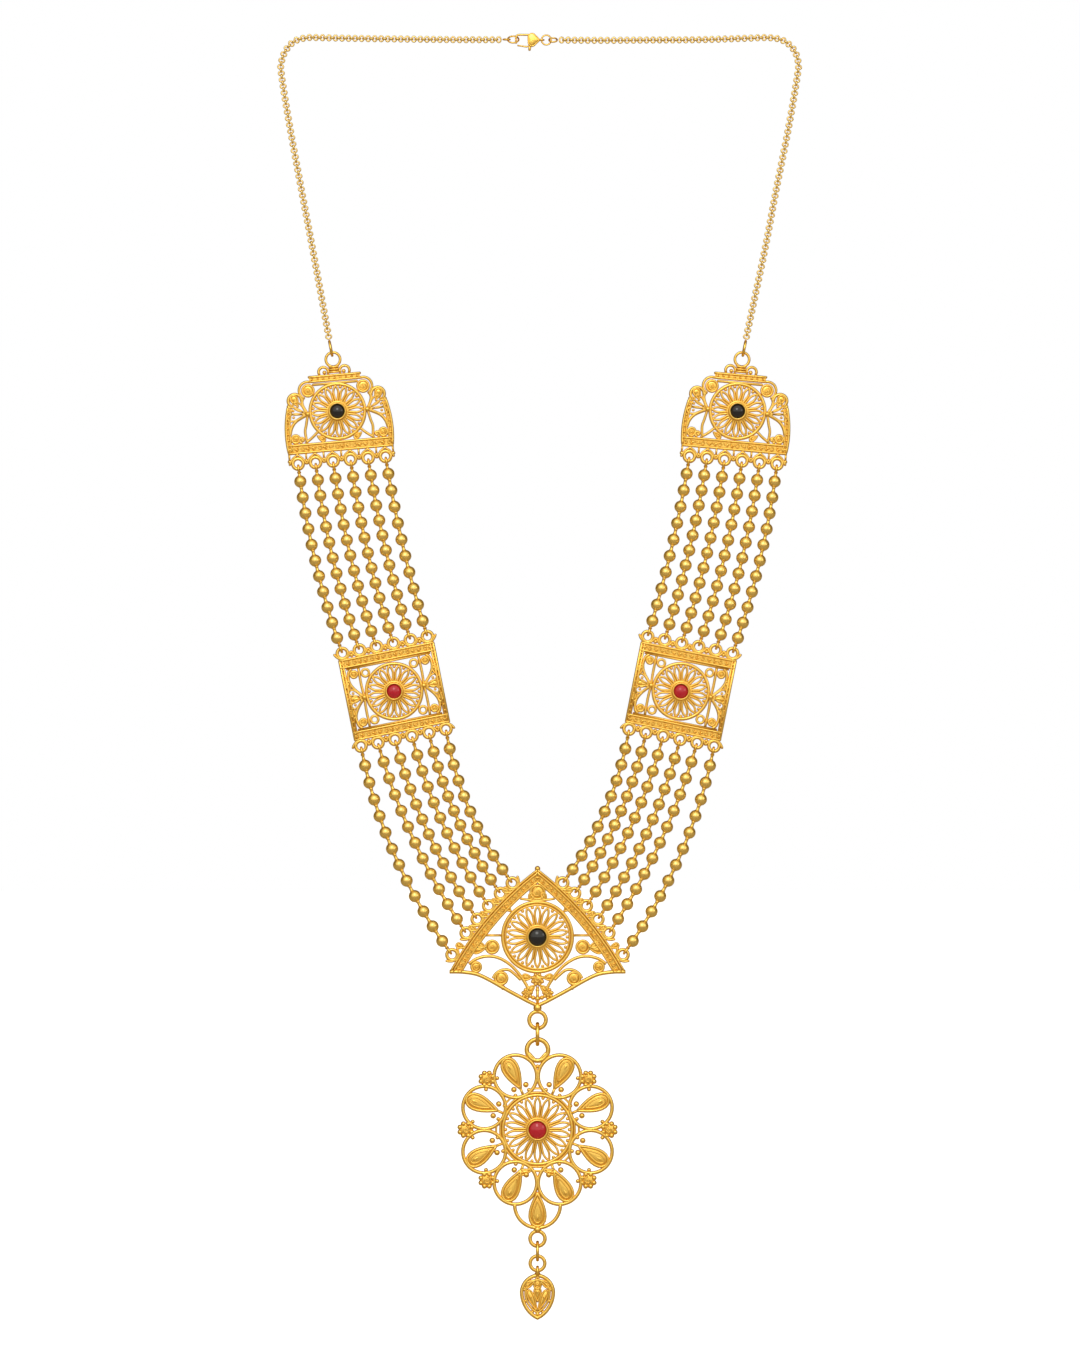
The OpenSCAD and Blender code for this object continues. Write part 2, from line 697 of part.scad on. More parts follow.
module mid_stone(side) {
    color(RED_STONE) on_side(side) upright(-mid_plaque_x, -mid_plaque_drop) stone(side_stone_r);
}

module centre_stone() {
    color(BLACK_STONE) upright(0, -centre_drop) stone(main_stone_r);
}

module medallion_stone() {
    color(RED_STONE) upright(0, -medallion_drop) stone(main_stone_r);
}

clasp_body();
clasp_lever();
clasp_left_ring();
clasp_right_ring();
left_clasp_link();
right_clasp_link();
chain(LEFT_ROUTE);  // left_chain
chain(RIGHT_ROUTE);  // right_chain
hanger_link(LEFT);  // left_hanger_link
hanger_link(RIGHT);  // right_hanger_link
top_plaque(LEFT);  // left_top_plaque
top_plaque(RIGHT);  // right_top_plaque
mid_plaque(LEFT);  // left_mid_plaque
mid_plaque(RIGHT);  // right_mid_plaque
centre_plaque();
top_stone(LEFT);  // left_top_stone
top_stone(RIGHT);  // right_top_stone
mid_stone(LEFT);  // left_mid_stone
mid_stone(RIGHT);  // right_mid_stone
centre_stone();
medallion_stone();
pendant_link();
medallion();
drop_link();
drop_ring();
leaf_drop();
for (i = [1 : string_count]) {
    upper_string(LEFT, i);
    upper_string(RIGHT, i);
    lower_string(LEFT, i);
    lower_string(RIGHT, i);
}
upper_end_links(LEFT);  // left_upper_end_links
upper_end_links(RIGHT);  // right_upper_end_links
lower_threads(LEFT);  // left_lower_threads
lower_threads(RIGHT);  // right_lower_threads
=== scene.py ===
"""Dresses a long filigree necklace: wires, grains, beads, chain links, stones, finishes and the stage."""

from math import asin, atan2, cos, degrees, pi, radians, sin, tan

import bpy
from mathutils import Matrix, Vector


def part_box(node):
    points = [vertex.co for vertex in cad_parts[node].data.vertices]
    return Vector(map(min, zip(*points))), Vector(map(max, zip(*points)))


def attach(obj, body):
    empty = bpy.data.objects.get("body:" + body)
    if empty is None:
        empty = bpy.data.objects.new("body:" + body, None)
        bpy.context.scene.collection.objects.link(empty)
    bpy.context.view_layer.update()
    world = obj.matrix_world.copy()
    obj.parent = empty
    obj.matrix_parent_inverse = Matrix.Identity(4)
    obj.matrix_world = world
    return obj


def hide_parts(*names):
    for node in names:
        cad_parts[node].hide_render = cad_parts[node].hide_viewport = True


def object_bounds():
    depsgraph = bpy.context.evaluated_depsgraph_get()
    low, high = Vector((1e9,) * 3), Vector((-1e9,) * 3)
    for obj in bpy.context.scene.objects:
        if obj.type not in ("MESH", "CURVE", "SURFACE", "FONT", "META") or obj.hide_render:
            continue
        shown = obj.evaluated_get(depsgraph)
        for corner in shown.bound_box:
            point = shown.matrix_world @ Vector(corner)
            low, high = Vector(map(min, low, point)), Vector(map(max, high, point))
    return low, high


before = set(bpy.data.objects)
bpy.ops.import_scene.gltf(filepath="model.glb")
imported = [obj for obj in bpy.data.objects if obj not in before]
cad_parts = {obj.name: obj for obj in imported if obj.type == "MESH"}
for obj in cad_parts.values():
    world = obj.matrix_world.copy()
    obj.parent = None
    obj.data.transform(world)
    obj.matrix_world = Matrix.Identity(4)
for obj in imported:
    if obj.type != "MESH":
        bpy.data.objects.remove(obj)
cad_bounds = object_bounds()

bl_info = {
    "name": "Filigree Necklace",
    "version": (1, 0, 0),
    "blender": (4, 5, 0),
    "location": "View3D > Sidebar > Necklace",
    "description": "Dresses a long necklace of gold wire, beads and stones",
    "category": "Add Mesh",
}

MM = 0.001
LEFT = "left"
RIGHT = "right"
SIDES = (LEFT, RIGHT)
UP = Vector((0, 0, 1))


# Sizes that the solids have too, in millimetres.

STRING_COUNT = 6
# Strings from the outer one to the inner one: number of beads, and how far the string bows outward.
UPPER_STRINGS = ((11, 1.6), (11, 1.5), (11, 1.4), (11, 1.3), (11, 1.1), (10, 1.0))
LOWER_STRINGS = ((12, 3.8), (11, 2.5), (11, 2.6), (10, 2.4), (10, 2.7), (9, 3.1))
# From a loop to the middle of the bead next to it: at a string's top and at its bottom end.
UPPER_ENDS = (5.3, 4.95)
LOWER_ENDS = (6.0, 5.1)
# Loops along the centre plaque's edge: distance along it from the point, and out from its chord.
CENTRE_LOOPS = ((8.2, 2.9), (12.9, 3.6), (18, 3.9), (23.3, 3.9), (28.6, 3.7), (36.3, 2.7))
LOOP_R = 1.45
LOOP_WIRE = 0.85
EYE_R = 1.0
EYE_WIRE = 0.8
GAP = 0.12
TOP_LOOP_PITCH = 5.27
TOP_LOOP_Y = -14.7
MID_LOOP_PITCH = 5.2
MID_LOOP_Y = 14.15
TOP_HALF_W = 16.0
MID_HALF_W = 14.8
HANGER_RING_Y = 15.6
HANGER_RING_R = 2.15
HANGER_RING_WIRE = 0.85
CLASP_WIRE = 0.5
LEVER_PIN = (-1.7, -1.35)
CENTRE_APEX = Vector((0, 20.5))
CENTRE_TIP = Vector((-26.4, -10.4))
CENTRE_WAY = (CENTRE_TIP - CENTRE_APEX).normalized()
CENTRE_OUT = Vector((CENTRE_WAY[1], -CENTRE_WAY[0]))
CENTRE_BULGE = 2.2
CENTRE_NECK_Y = -20.6
PENDANT_RING_Y = -24.9
PENDANT_RING_R = 2.52
PENDANT_RING_WIRE = 1.26
PETAL_ORBIT = 17.3
PETAL_R = 6.4
MEDALLION_LOOP_Y = 23.9
MEDALLION_LOOP_R = 3.1
MEDALLION_LOOP_WIRE = 1.3
DROP_EYE_Y = -32.7
DROP_EYE_R = 2.24
DROP_EYE_WIRE = 1.17
LEAF_H = 13.6
LEAF_SHOULDER = 5.2
# Route of each run of the neck chain, from the clasp to the top plaque.
ROUTES = {
    LEFT: (
        (-10.7, 0.1), (-23, 0.1), (-41, 0.3), (-56, 0.5), (-65, 0.7), (-69, 0.7), (-72.8, -0.3),
        (-75.5, -3.1), (-76.8, -6.6), (-76.8, -10.5), (-74.3, -26), (-70.8, -45), (-67.4, -63), (-63, -87),
        (-62.6, -89.6),
    ),
    RIGHT: (
        (6.3, 0), (19, -0.1), (34, 0), (49, 0.1), (62, 0.5), (69.5, 0.7), (73.8, -0.2), (76.9, -2.9),
        (78.2, -6.6), (78, -10.5), (75.2, -27), (71.6, -45), (68.2, -63), (63.1, -87), (62.6, -89.6),
    ),
}


def size(label, text, default, low, high):
    """A length that the user may change, given in millimetres."""
    return bpy.props.FloatProperty(
        name=label, description=text, default=default * MM, min=low * MM, max=high * MM,
        unit="LENGTH", precision=5,
    )


def tone(label, text, default):
    return bpy.props.FloatVectorProperty(
        name=label, description=text, default=default, min=0, max=1, size=3, subtype="COLOR"
    )


class WireSettings(bpy.types.PropertyGroup):
    main_wire: size("Main wire", "Thickness of the wires that outline the ornament", 1.22, 0.6, 1.5)
    fine_wire: size("Fine wire", "Thickness of the wires inside the ornament", 0.88, 0.4, 1.2)
    grain: size("Grain", "Diameter of the soldered grains", 1.25, 0.6, 1.6)
    tilt_top: bpy.props.FloatProperty(
        name="Top plaque tilt", description="Tilt of the top plaques", default=radians(5), subtype="ANGLE"
    )
    tilt_mid: bpy.props.FloatProperty(
        name="Middle plaque tilt", description="Tilt of the middle plaques",
        default=radians(11.3), subtype="ANGLE",
    )


class BeadSettings(bpy.types.PropertyGroup):
    bead: size("Bead", "Diameter of the beads", 3.68, 3.2, 3.8)
    neck: size("Neck", "Thickness of the wire between the beads", 1.0, 0.6, 1.2)
    flare: size("Collar", "Thickness of the wire's collar at a bead", 1.5, 0.9, 1.8)


class ChainSettings(bpy.types.PropertyGroup):
    link_pitch: size("Link pitch", "Distance from one link to the next", 0.98, 0.8, 1.3)
    link_long: size("Link length", "Length of a link", 1.86, 1.4, 2.2)
    link_wide: size("Link width", "Width of a link", 2.25, 1.6, 2.4)
    link_wire: size("Link wire", "Thickness of a link's wire", 0.6, 0.3, 0.7)


class FinishSettings(bpy.types.PropertyGroup):
    gold: tone("Gold", "Colour of the gold where it is polished", (1.0, 0.66, 0.16))
    bead_gold: tone("Bead gold", "Colour of the gold of the beads", (1.0, 0.62, 0.15))
    # The amber is painted shade, mixed into the gold where it is hidden in recesses, and also the tone of the
    # gold's random clouds.
    amber: tone("Amber", "Colour of the gold in its recesses", (0.62, 0.34, 0.03))
    rim: tone("Rim", "Tint of the gold's reflection at a low angle", (0.8, 0.5, 0.15))
    black: tone("Black stone", "Colour of the black stones", (0.0008, 0.0008, 0.0008))
    red: tone("Red stone", "Colour of the red stones", (0.11, 0.0003, 0.0005))


class StageSettings(bpy.types.PropertyGroup):
    frame_height: size("Frame height", "Height of the view at the necklace", 405, 390, 450)
    frame_centre_x: size("Frame centre", "Middle of the view, to the right", 0.75, -5, 5)
    frame_centre_z: size("Frame middle", "Middle of the view, above the clasp", -190.5, -200, -180)
    lens: bpy.props.FloatProperty(
        name="Lens", description="Focal length of the camera in millimetres", default=200, min=50, max=300
    )
    floor_gap: size("Floor gap", "Distance of the floor below the leaf drop", 45, 20, 100)


class NecklaceSettings(bpy.types.PropertyGroup):
    wires: bpy.props.PointerProperty(type=WireSettings, name="Wires")
    beads: bpy.props.PointerProperty(type=BeadSettings, name="Beads")
    chain: bpy.props.PointerProperty(type=ChainSettings, name="Chain")
    finish: bpy.props.PointerProperty(type=FinishSettings, name="Finish")
    stage: bpy.props.PointerProperty(type=StageSettings, name="Stage")


def settings():
    return bpy.context.scene.necklace


# Curves of the drawing plane, as lists of points in millimetres.

def ray(radius, angle):
    return Vector((radius * cos(radians(angle)), radius * sin(radians(angle))))


def at(centre, radius, angle):
    return Vector(centre) + ray(radius, angle)


def arc(centre, radius, start, end, steps=16):
    return [at(centre, radius, start + (end - start) * i / steps) for i in range(steps + 1)]


def circle(centre, radius, steps=32):
    return arc(centre, radius, 0, 360 * (steps - 1) / steps, steps - 1)


def round_path(centre, way, across, reach, rise, steps=32):
    """Closed round path in space, as far as reach along the way and as far as rise across it."""
    centre = Vector(centre).to_3d()
    turns = (2 * pi * i / steps for i in range(steps))
    return [centre + way * (reach * cos(turn)) + across * (rise * sin(turn)) for turn in turns]


def spiral(centre, outer, inner, start, turns, steps=14):
    count = round(steps * abs(turns))
    return [
        at(centre, outer + (inner - outer) * i / count, start + 360 * turns * i / count)
        for i in range(count + 1)
    ]


def swing(points, steps=6):
    """A smooth curve through the points."""
    points = [Vector(p) for p in points]
    ends = [2 * points[0] - points[1], *points, 2 * points[-1] - points[-2]]
    curve = []
    for a, b, c, d in zip(ends, ends[1:], ends[2:], ends[3:]):
        for i in range(steps):
            t = i / steps
            curve.append(
                0.5 * (2 * b + (c - a) * t + (2 * a - 5 * b + 4 * c - d) * t**2
                       + (3 * b - a - 3 * c + d) * t**3)
            )
    return [*curve, points[-1]]


def flipped(points):
    return [Vector((-p[0], p[1])) for p in points]


def turned(point, angle):
    return Vector(point).to_2d() @ Matrix.Rotation(-radians(angle), 2)


class Bow:
    """A bowed line from start to end: part of a circle, which rises to the right of the way it goes."""

    def __init__(self, start, end, rise):
        start, end = Vector(start), Vector(end)
        half = (end - start).length / 2
        way = (end - start).normalized()
        out = Vector((way[1], -way[0]))
        self.radius = (half * half + rise * rise) / (2 * rise)
        self.centre = (start + end) / 2 - out * (self.radius - rise)
        middle = degrees(atan2(out[1], out[0]))
        reach = degrees(asin(half / self.radius))
        self.first, self.last = middle - reach, middle + reach
        self.length = self.radius * radians(2 * reach)

    def angle(self, along):
        return self.first + degrees(along / self.radius)

    def point(self, along, out=0.0):
        return at(self.centre, self.radius + out, self.angle(along))

    def way(self, along):
        return ray(1, self.angle(along) + 90)

    def points(self, out=0.0, steps=16, start=0.0, end=None):
        end = self.length if end is None else end
        return [self.point(start + (end - start) * i / steps, out) for i in range(steps + 1)]


class Goldwork:
    """Wires, grains and turned forms of one piece, drawn in a plane in millimetres."""

    def __init__(self):
        self.corners = []
        self.faces = []
        self.flat = set()

    def wire(self, path, width, height=None, closed=False, sides=8, up=UP, lift=0.0, round_ends=False):
        """Bends a wire along a path that lies in the plane across up."""
        path = [Vector((p[0], p[1], lift + (p[2] if len(p) > 2 else 0))) for p in path]
        height = width if height is None else height
        last = len(path) - 1
        stations = []
        for i, point in enumerate(path):
            before = path[i - 1] if closed or i > 0 else point
            after = path[(i + 1) % len(path)] if closed or i < last else point
            stations.append((point, (after - before).normalized(), 1.0))
        if round_ends:
            first, end = stations[0], stations[-1]
            stations.insert(0, (first[0] - first[1] * width * 0.35, first[1], 0.6))
            stations.append((end[0] + end[1] * width * 0.35, end[1], 0.6))
        base = len(self.corners)
        for point, way, part in stations:
            side = way.cross(up).normalized()
            for k in range(sides):
                angle = 2 * pi * (k + 0.5) / sides
                self.corners.append(
                    point + side * (cos(angle) * width / 2 * part) + up * (sin(angle) * height / 2 * part)
                )
        self._walls(base, len(stations), sides, closed)

    def _walls(self, base, rings, sides, closed):
        for i in range(rings if closed else rings - 1):
            here, there = base + i * sides, base + (i + 1) % rings * sides
            for k in range(sides):
                step = (k + 1) % sides
                self.faces.append((here + k, there + k, there + step, here + step))
        if not closed:
            end = base + (rings - 1) * sides
            for start, order in ((base, range(sides)), (end, range(sides - 1, -1, -1))):
                self.flat.add(len(self.faces))
                self.faces.append(tuple(start + k for k in order))

    def ring(self, centre, radius, width, steps=36, sides=10, lift=0.0, height=None):
        self.wire(circle(centre, radius, steps), width, height, closed=True, sides=sides, lift=lift)

    def edge_ring(self, centre, angle, radius, width, steps=32, sides=10):
        """A ring seen from its edge, whose plane holds the direction at the given angle."""
        way = ray(1, angle).to_3d()
        path = round_path(centre, way, UP, radius, radius, steps)
        self.wire(path, width, closed=True, sides=sides, up=way.cross(UP))

    def tilted_ring(self, centre, radius, width, tilt):
        """A ring that leans out of the plane about its level diameter, by the tilt in degrees."""
        lean = Vector((0, cos(radians(tilt)), sin(radians(tilt))))
        level = Vector((1, 0, 0))
        path = round_path(centre, level, lean, radius, radius)
        self.wire(path, width, closed=True, sides=10, up=level.cross(lean))

    def cushion(self, outline, middle, rows):
        """A form with the outline, drawn in toward its middle. Rows are (part of the outline, height)."""
        middle = Vector(middle)
        rings = []
        for part, height in rows:
            rings.append(range(len(self.corners), len(self.corners) + len(outline)))
            self.corners.extend((middle + (p - middle) * part).to_3d() + UP * height for p in outline)
        for here, there in zip(rings, rings[1:]):
            for k in range(len(outline)):
                step = (k + 1) % len(outline)
                self.faces.append((here[k], here[step], there[step], there[k]))
        self.faces.append(tuple(reversed(rings[0])))
        self.faces.append(tuple(rings[-1]))

    def turn(self, profile, centre, axis, sides=16):
        """Turns a profile of (along, radius) about an axis. A radius of 0 is a point."""
        axis = Vector(axis).to_3d().normalized()
        side = axis.orthogonal().normalized()
        other = axis.cross(side)
        centre = Vector(centre).to_3d()
        rows = []
        for along, radius in profile:
            middle = centre + axis * along
            if radius == 0:
                rows.append([len(self.corners)] * sides)
                self.corners.append(middle)
                continue
            rows.append(range(len(self.corners), len(self.corners) + sides))
            for k in range(sides):
                angle = 2 * pi * k / sides
                self.corners.append(middle + side * (radius * cos(angle)) + other * (radius * sin(angle)))
        for here, there in zip(rows, rows[1:]):
            for k in range(sides):
                step = (k + 1) % sides
                face = dict.fromkeys((here[k], here[step], there[step], there[k]))
                if len(face) > 2:
                    self.faces.append(tuple(face))

    def grain(self, centre, diameter, lift=0.0, sides=10):
        rows, radius = 6, diameter / 2
        profile = [
            (-radius * cos(pi * i / rows), 0 if i in (0, rows) else radius * sin(pi * i / rows))
            for i in range(rows + 1)
        ]
        self.turn(profile, Vector((centre[0], centre[1], lift)), UP, sides)

    def sheet(self, outline, low, high):
        """A flat sheet with the given outline, between two heights."""
        base, count = len(self.corners), len(outline)
        for height in (low, high):
            self.corners.extend(Vector((p[0], p[1], height)) for p in outline)
        area = sum(a[0] * b[1] - b[0] * a[1] for a, b in zip(outline, [*outline[1:], outline[0]]))
        order = range(count) if area > 0 else range(count - 1, -1, -1)
        first = len(self.faces)
        self.faces.append(tuple(base + count + k for k in order))
        self.faces.append(tuple(base + k for k in reversed(order)))
        order = [*order, order[0]]
        for a, b in zip(order, order[1:]):
            self.faces.append((base + a, base + b, base + count + b, base + count + a))
        self.flat.update(range(first, len(self.faces)))

    def mirrored(self):
        """Adds the same work on the other side of the plane's upright middle line."""
        offset = len(self.corners)
        self.flat.update([i + len(self.faces) for i in self.flat])
        self.faces.extend([tuple(offset + k for k in reversed(face)) for face in self.faces])
        self.corners.extend([Vector((-c[0], c[1], c[2])) for c in self.corners])

    def add(self, other):
        offset = len(self.corners)
        self.flat.update(i + len(self.faces) for i in other.flat)
        self.faces.extend(tuple(offset + k for k in face) for face in other.faces)
        self.corners.extend(other.corners)

    def piece(self, name, place, finish, replaced, slot="gold", body="root", flip=False):
        """Makes the piece, in its place on the necklace, and gives it to the frame."""
        if flip:
            place = Matrix.Scale(-1, 4, (1, 0, 0)) @ place
        faces = [tuple(reversed(face)) for face in self.faces] if flip else self.faces
        mesh = bpy.data.meshes.new(name)
        mesh.from_pydata([place @ c for c in self.corners], [], faces)
        mesh.polygons.foreach_set("use_smooth", [i not in self.flat for i in range(len(faces))])
        mesh.materials.append(finish)
        mesh.validate()
        piece = new_object(name, mesh)
        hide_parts(*replaced)
        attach(piece, body)
        return piece


def upright(x=0.0, z=0.0, tilt=0.0):
    """Turns the drawing plane up at a place on the necklace, and millimetres into metres."""
    return (
        Matrix.Scale(MM, 4) @ Matrix.Translation((x, 0, z)) @ Matrix.Rotation(pi / 2, 4, "X")
        @ Matrix.Rotation(tilt, 4, "Z")
    )


def stone_place(node):
    """Where a stone's middle is, to the right and up, in millimetres."""
    low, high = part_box(node)
    return (low[0] + high[0]) / 2 / MM, (low[2] + high[2]) / 2 / MM


# Motifs of the filigree.

# Domes from the edge to the middle: rows of (part of the outline or radius, height).
LEAF_DOME = ((1.0, 0.05), (0.85, 0.2), (0.55, 0.36), (0.2, 0.42))
SCROLL_DOME = ((1.0, 0.1), (0.6, 0.25), (0.0, 0.4))
ROSETTE_DOME = ((1.0, 0.1), (0.75, 0.3), (0.4, 0.45), (0.0, 0.5))


def wires():
    """Thickness of the main and the fine wire, and the grains' diameter, in millimetres."""
    sizes = settings().wires
    return sizes.main_wire / MM, sizes.fine_wire / MM, sizes.grain / MM


def both_faces(dome):
    """The dome's rows on the back and then on the front."""
    return [*((part, -height) for part, height in reversed(dome)), *dome]


def domed_disc(work, centre, radius, dome):
    profile = [(height, radius * part) for part, height in both_faces(dome)]
    work.turn(profile, (*centre, 0), UP, 20)


def flower(work, petals, bezel, outer, twin=False):
    """Pointed petals of wire from the stone's cup to a round wire, with a grain between two tips."""
    main, fine, grain = wires()
    tip = outer - main * (1.0 if twin else 0.4)
    spread = tan(pi / petals)
    thin = fine * 0.88
    steps = 12
    for i in range(petals):
        middle = 360 * i / petals + 90
        side = []
        for k in range(steps + 1):
            t = k / steps
            along = bezel + (tip - bezel) * t
            close = max(0, (t - 0.52) / 0.48)
            side.append((along, (along * spread - thin * 0.45) * (1 - close**1.6)))
        path = [ray(along, middle) + ray(off, middle + 90) for along, off in side]
        path += [ray(along, middle) - ray(off, middle + 90) for along, off in reversed(side[:-1])]
        work.wire(path, thin, thin * 1.8, sides=8)
        work.grain(ray(tip - grain * 0.25, middle + 180 / petals), grain * 0.85)
    work.ring((0, 0), outer, main * 0.92, steps=64, height=main)
    if twin:
        work.ring((0, 0), outer - main * 0.7, fine * 0.75, steps=64, lift=0.12)


def cup(work, radius):
    """The cup that holds a stone, its rim rolled over, with a collar of fine wire."""
    _, fine, _ = wires()
    wall = radius + 0.06
    profile = [
        (-0.5, 0), (-0.5, wall + 0.65), (1.7, wall + 0.62), (2.05, wall + 0.5), (2.2, wall + 0.3),
        (2.12, wall + 0.06), (1.9, wall), (0.9, wall), (0.9, 0),
    ]
    work.turn(profile, (0, 0, 0), UP, sides=40)
    work.ring((0, 0), wall + 0.75, fine, steps=40, lift=0.25)


def scroll(work, centre, radius, start=0.0, hand=1):
    """A ring of wire on a domed disc, with a spiral in it that ends in a grain."""
    _, fine, grain = wires()
    work.ring(centre, radius - fine * 0.5, fine, steps=28, sides=8, height=fine * 1.3)
    inner = spiral(centre, radius - fine, fine * 0.3, start, 1.3 * hand, 16)
    work.wire(inner, fine * 0.55, fine * 1.3, sides=8)
    work.grain(centre, grain * 0.6, 0.3)
    domed_disc(work, centre, radius * 0.85, SCROLL_DOME)


def curl(work, centre, radius, start, turns):
    """An open spiral that winds in from its outer end."""
    _, fine, grain = wires()
    work.wire(spiral(centre, radius, radius * 0.25, start, turns), fine, fine * 1.3, sides=7)
    work.grain(centre, grain * 0.75, 0.1)


def rosette(work, centre, radius, grains=8):
    """A small domed disc with a spiral on it, in a circle of grains that touch each other."""
    _, fine, _ = wires()
    half = sin(pi / grains)
    orbit = radius / (1 + half)
    for i in range(grains):
        work.grain(at(centre, orbit, 360 * (i + 0.5) / grains + 90), 2 * orbit * half * 1.06)
    domed_disc(work, centre, orbit * 1.15, ROSETTE_DOME)
    inner = spiral(centre, orbit * 0.62, fine * 0.2, 90, 1.2, 16)
    work.wire(inner, fine * 0.55, fine * 0.8, sides=8, lift=0.42)


def teardrop(base, angle, length, width):
    """Closed outline of a drop that is pointed at its base and round at its far end."""
    count = 22
    points = []
    for i in range(count):
        t = 2 * pi * i / count
        along = length * (1 - cos(t)) / 2
        off = width / 2 * sin(t) * sin(t / 2) ** 1.2 * 1.28
        points.append(Vector(base) + ray(along, angle) + ray(off, angle + 90))
    return points


def nested_leaf(work, base, angle, length, width):
    """Two drops of wire within each other and a seed in the inner one, on domed metal."""
    main, fine, _ = wires()
    outline = teardrop(base, angle, length, width)
    work.wire(outline, main * 0.8, main * 1.1, closed=True, sides=10)
    work.cushion(outline, at(base, length * 0.62, angle), both_faces(LEAF_DOME))
    inset = main * 0.95
    work.wire(
        teardrop(at(base, inset * 2.0, angle), angle, length - inset * 2.9, width - inset * 1.9),
        fine * 0.7, fine * 1.5, closed=True, sides=8,
    )
    seed = (
        (-1.0, 0), (-0.94, 0.1), (-0.6, 0.2), (0.0, 0.36), (0.5, 0.5), (0.8, 0.42), (0.95, 0.22), (1.0, 0),
    )
    reach = length * 0.2
    work.turn([(a * reach, r * main) for a, r in seed], at(base, length * 0.64, angle), ray(1, angle), 12)


def small_leaf(work, base, angle, length, width, backed=True):
    """A drop of wire with a grain in its round end, and domed metal behind it if it is backed."""
    _, fine, grain = wires()
    outline = teardrop(base, angle, length, width)
    work.wire(outline, fine * 0.75, fine * 1.4, closed=True, sides=8)
    if backed:
        work.cushion(outline, at(base, length * 0.62, angle), both_faces(LEAF_DOME))
    work.grain(at(base, length * 0.66, angle), grain * 0.7, 0.2)


def grain_row(work, path, diameter, lift=0.0, pitch=1.0):
    """Grains side by side along a path."""
    path = [Vector(p).to_2d() for p in path]
    left = 0.0
    for a, b in zip(path, path[1:]):
        span = (b - a).length
        while left <= span:
            work.grain(a + (b - a) * (left / span), diameter, lift, sides=7)
            left += diameter * pitch
        left -= span


def worked_band(work, low_edge, high_edge, depth):
    """A strip between two edge wires, filled with curls, rings and grains that show on both faces."""
    main, fine, _ = wires()
    pitch = 1.75
    work.sheet([*low_edge, *reversed(high_edge)], -depth * 0.16, depth * 0.16)
    edge_wire = main * 0.7
    for line in (low_edge, high_edge):
        work.wire(line, edge_wire, depth, sides=8, round_ends=True)
    middle = [(Vector(a) + Vector(b)) / 2 for a, b in zip(low_edge, high_edge)]
    last = len(middle) - 1
    width = (Vector(low_edge[last // 2]) - Vector(high_edge[last // 2])).length - edge_wire
    length = sum((b - a).length for a, b in zip(middle, middle[1:]))
    count = max(2, round(length / pitch))
    bead = min(depth, width * 0.8)
    for i in range(count):
        spot, way = along_path(middle, length * (i + 0.5) / count)
        if i % 3 == 2:
            work.ring(spot, width * 0.33, fine * 0.55, steps=16, sides=8, height=depth)
            continue
        angle = degrees(atan2(way[1], way[0]))
        lean = angle + 58 + 24 * sin(i * 2.4)
        reach = width * 0.42
        bend = spot + ray(reach * 0.5, angle)
        work.wire(
            swing([spot - ray(reach, lean), bend, spot + ray(reach, lean)], 3), fine * 0.6, depth,
            sides=8, round_ends=True,
        )
        work.grain(spot - ray(pitch * 0.25, angle), bead)


def border(work, inner, outer):
    """Two wires on a thin strip, with grains set between them."""
    _, fine, _ = wires()
    work.sheet([*inner, *reversed(outer)], -0.4, 0.15)
    for line, width in ((inner, fine * 0.8), (outer, fine * 1.05)):
        work.wire(line, width, 1.4, round_ends=True)
    grain_row(work, [(Vector(a) + Vector(b)) / 2 for a, b in zip(inner, outer)], 0.8, 0.2, 2.2)


def along_path(path, distance):
    """The point and the direction at a distance along a path."""
    for a, b in zip(path, path[1:]):
        span = (b - a).length
        if distance <= span:
            break
        distance -= span
    way = (b - a).normalized()
    return a + way * distance, way


def loops(work, places, out, rise):
    """Loops for the strings, each within a pointed arch of wire on its inner side."""
    _, fine, _ = wires()
    side = Vector((-out[1], out[0]))
    half = [(2.5, 0.1), (2.1, -0.6), (1.4, -0.55 * rise - 0.15), (0.4, 0.3 - rise)]
    arch = [*half, (0, -rise), *((-a, b) for a, b in reversed(half))]
    for place in places:
        work.ring(place, LOOP_R + 0.12, LOOP_WIRE + 0.25, steps=28)
        work.wire(swing([place + side * a + out * b for a, b in arch], 3), fine * 0.9, fine * 1.3, sides=7,
                  round_ends=True)


def loop_row(pitch, y):
    return [Vector(((i - (STRING_COUNT - 1) / 2) * pitch, y)) for i in range(STRING_COUNT)]


def centre_loop_places():
    """Loops of the centre plaque's left edge, from the outer string to the inner one."""
    return [CENTRE_APEX + CENTRE_WAY * along + CENTRE_OUT * off for along, off in reversed(CENTRE_LOOPS)]


# Finishes.

def node_group(name, inputs, outputs):
    group = bpy.data.node_groups.new(name, "ShaderNodeTree")
    for label, kind, default in inputs:
        group.interface.new_socket(label, in_out="INPUT", socket_type=kind).default_value = default
    for label, kind in outputs:
        group.interface.new_socket(label, in_out="OUTPUT", socket_type=kind)
    nodes = group.nodes
    return group, nodes.new("NodeGroupInput"), nodes.new("NodeGroupOutput")


def noise_node(tree, scale, detail):
    place = tree.nodes.new("ShaderNodeTexCoord")
    texture = tree.nodes.new("ShaderNodeTexNoise")
    texture.inputs["Scale"].default_value = scale
    texture.inputs["Detail"].default_value = detail
    tree.links.new(place.outputs["Object"], texture.inputs["Vector"])
    return texture


def math_node(tree, operation, *values):
    """The result of a math node, whose values are numbers or other nodes' outputs."""
    node = tree.nodes.new("ShaderNodeMath")
    node.operation = operation
    for socket, value in zip(node.inputs, values):
        if isinstance(value, bpy.types.NodeSocket):
            tree.links.new(value, socket)
        else:
            socket.default_value = value
    return node.outputs[0]


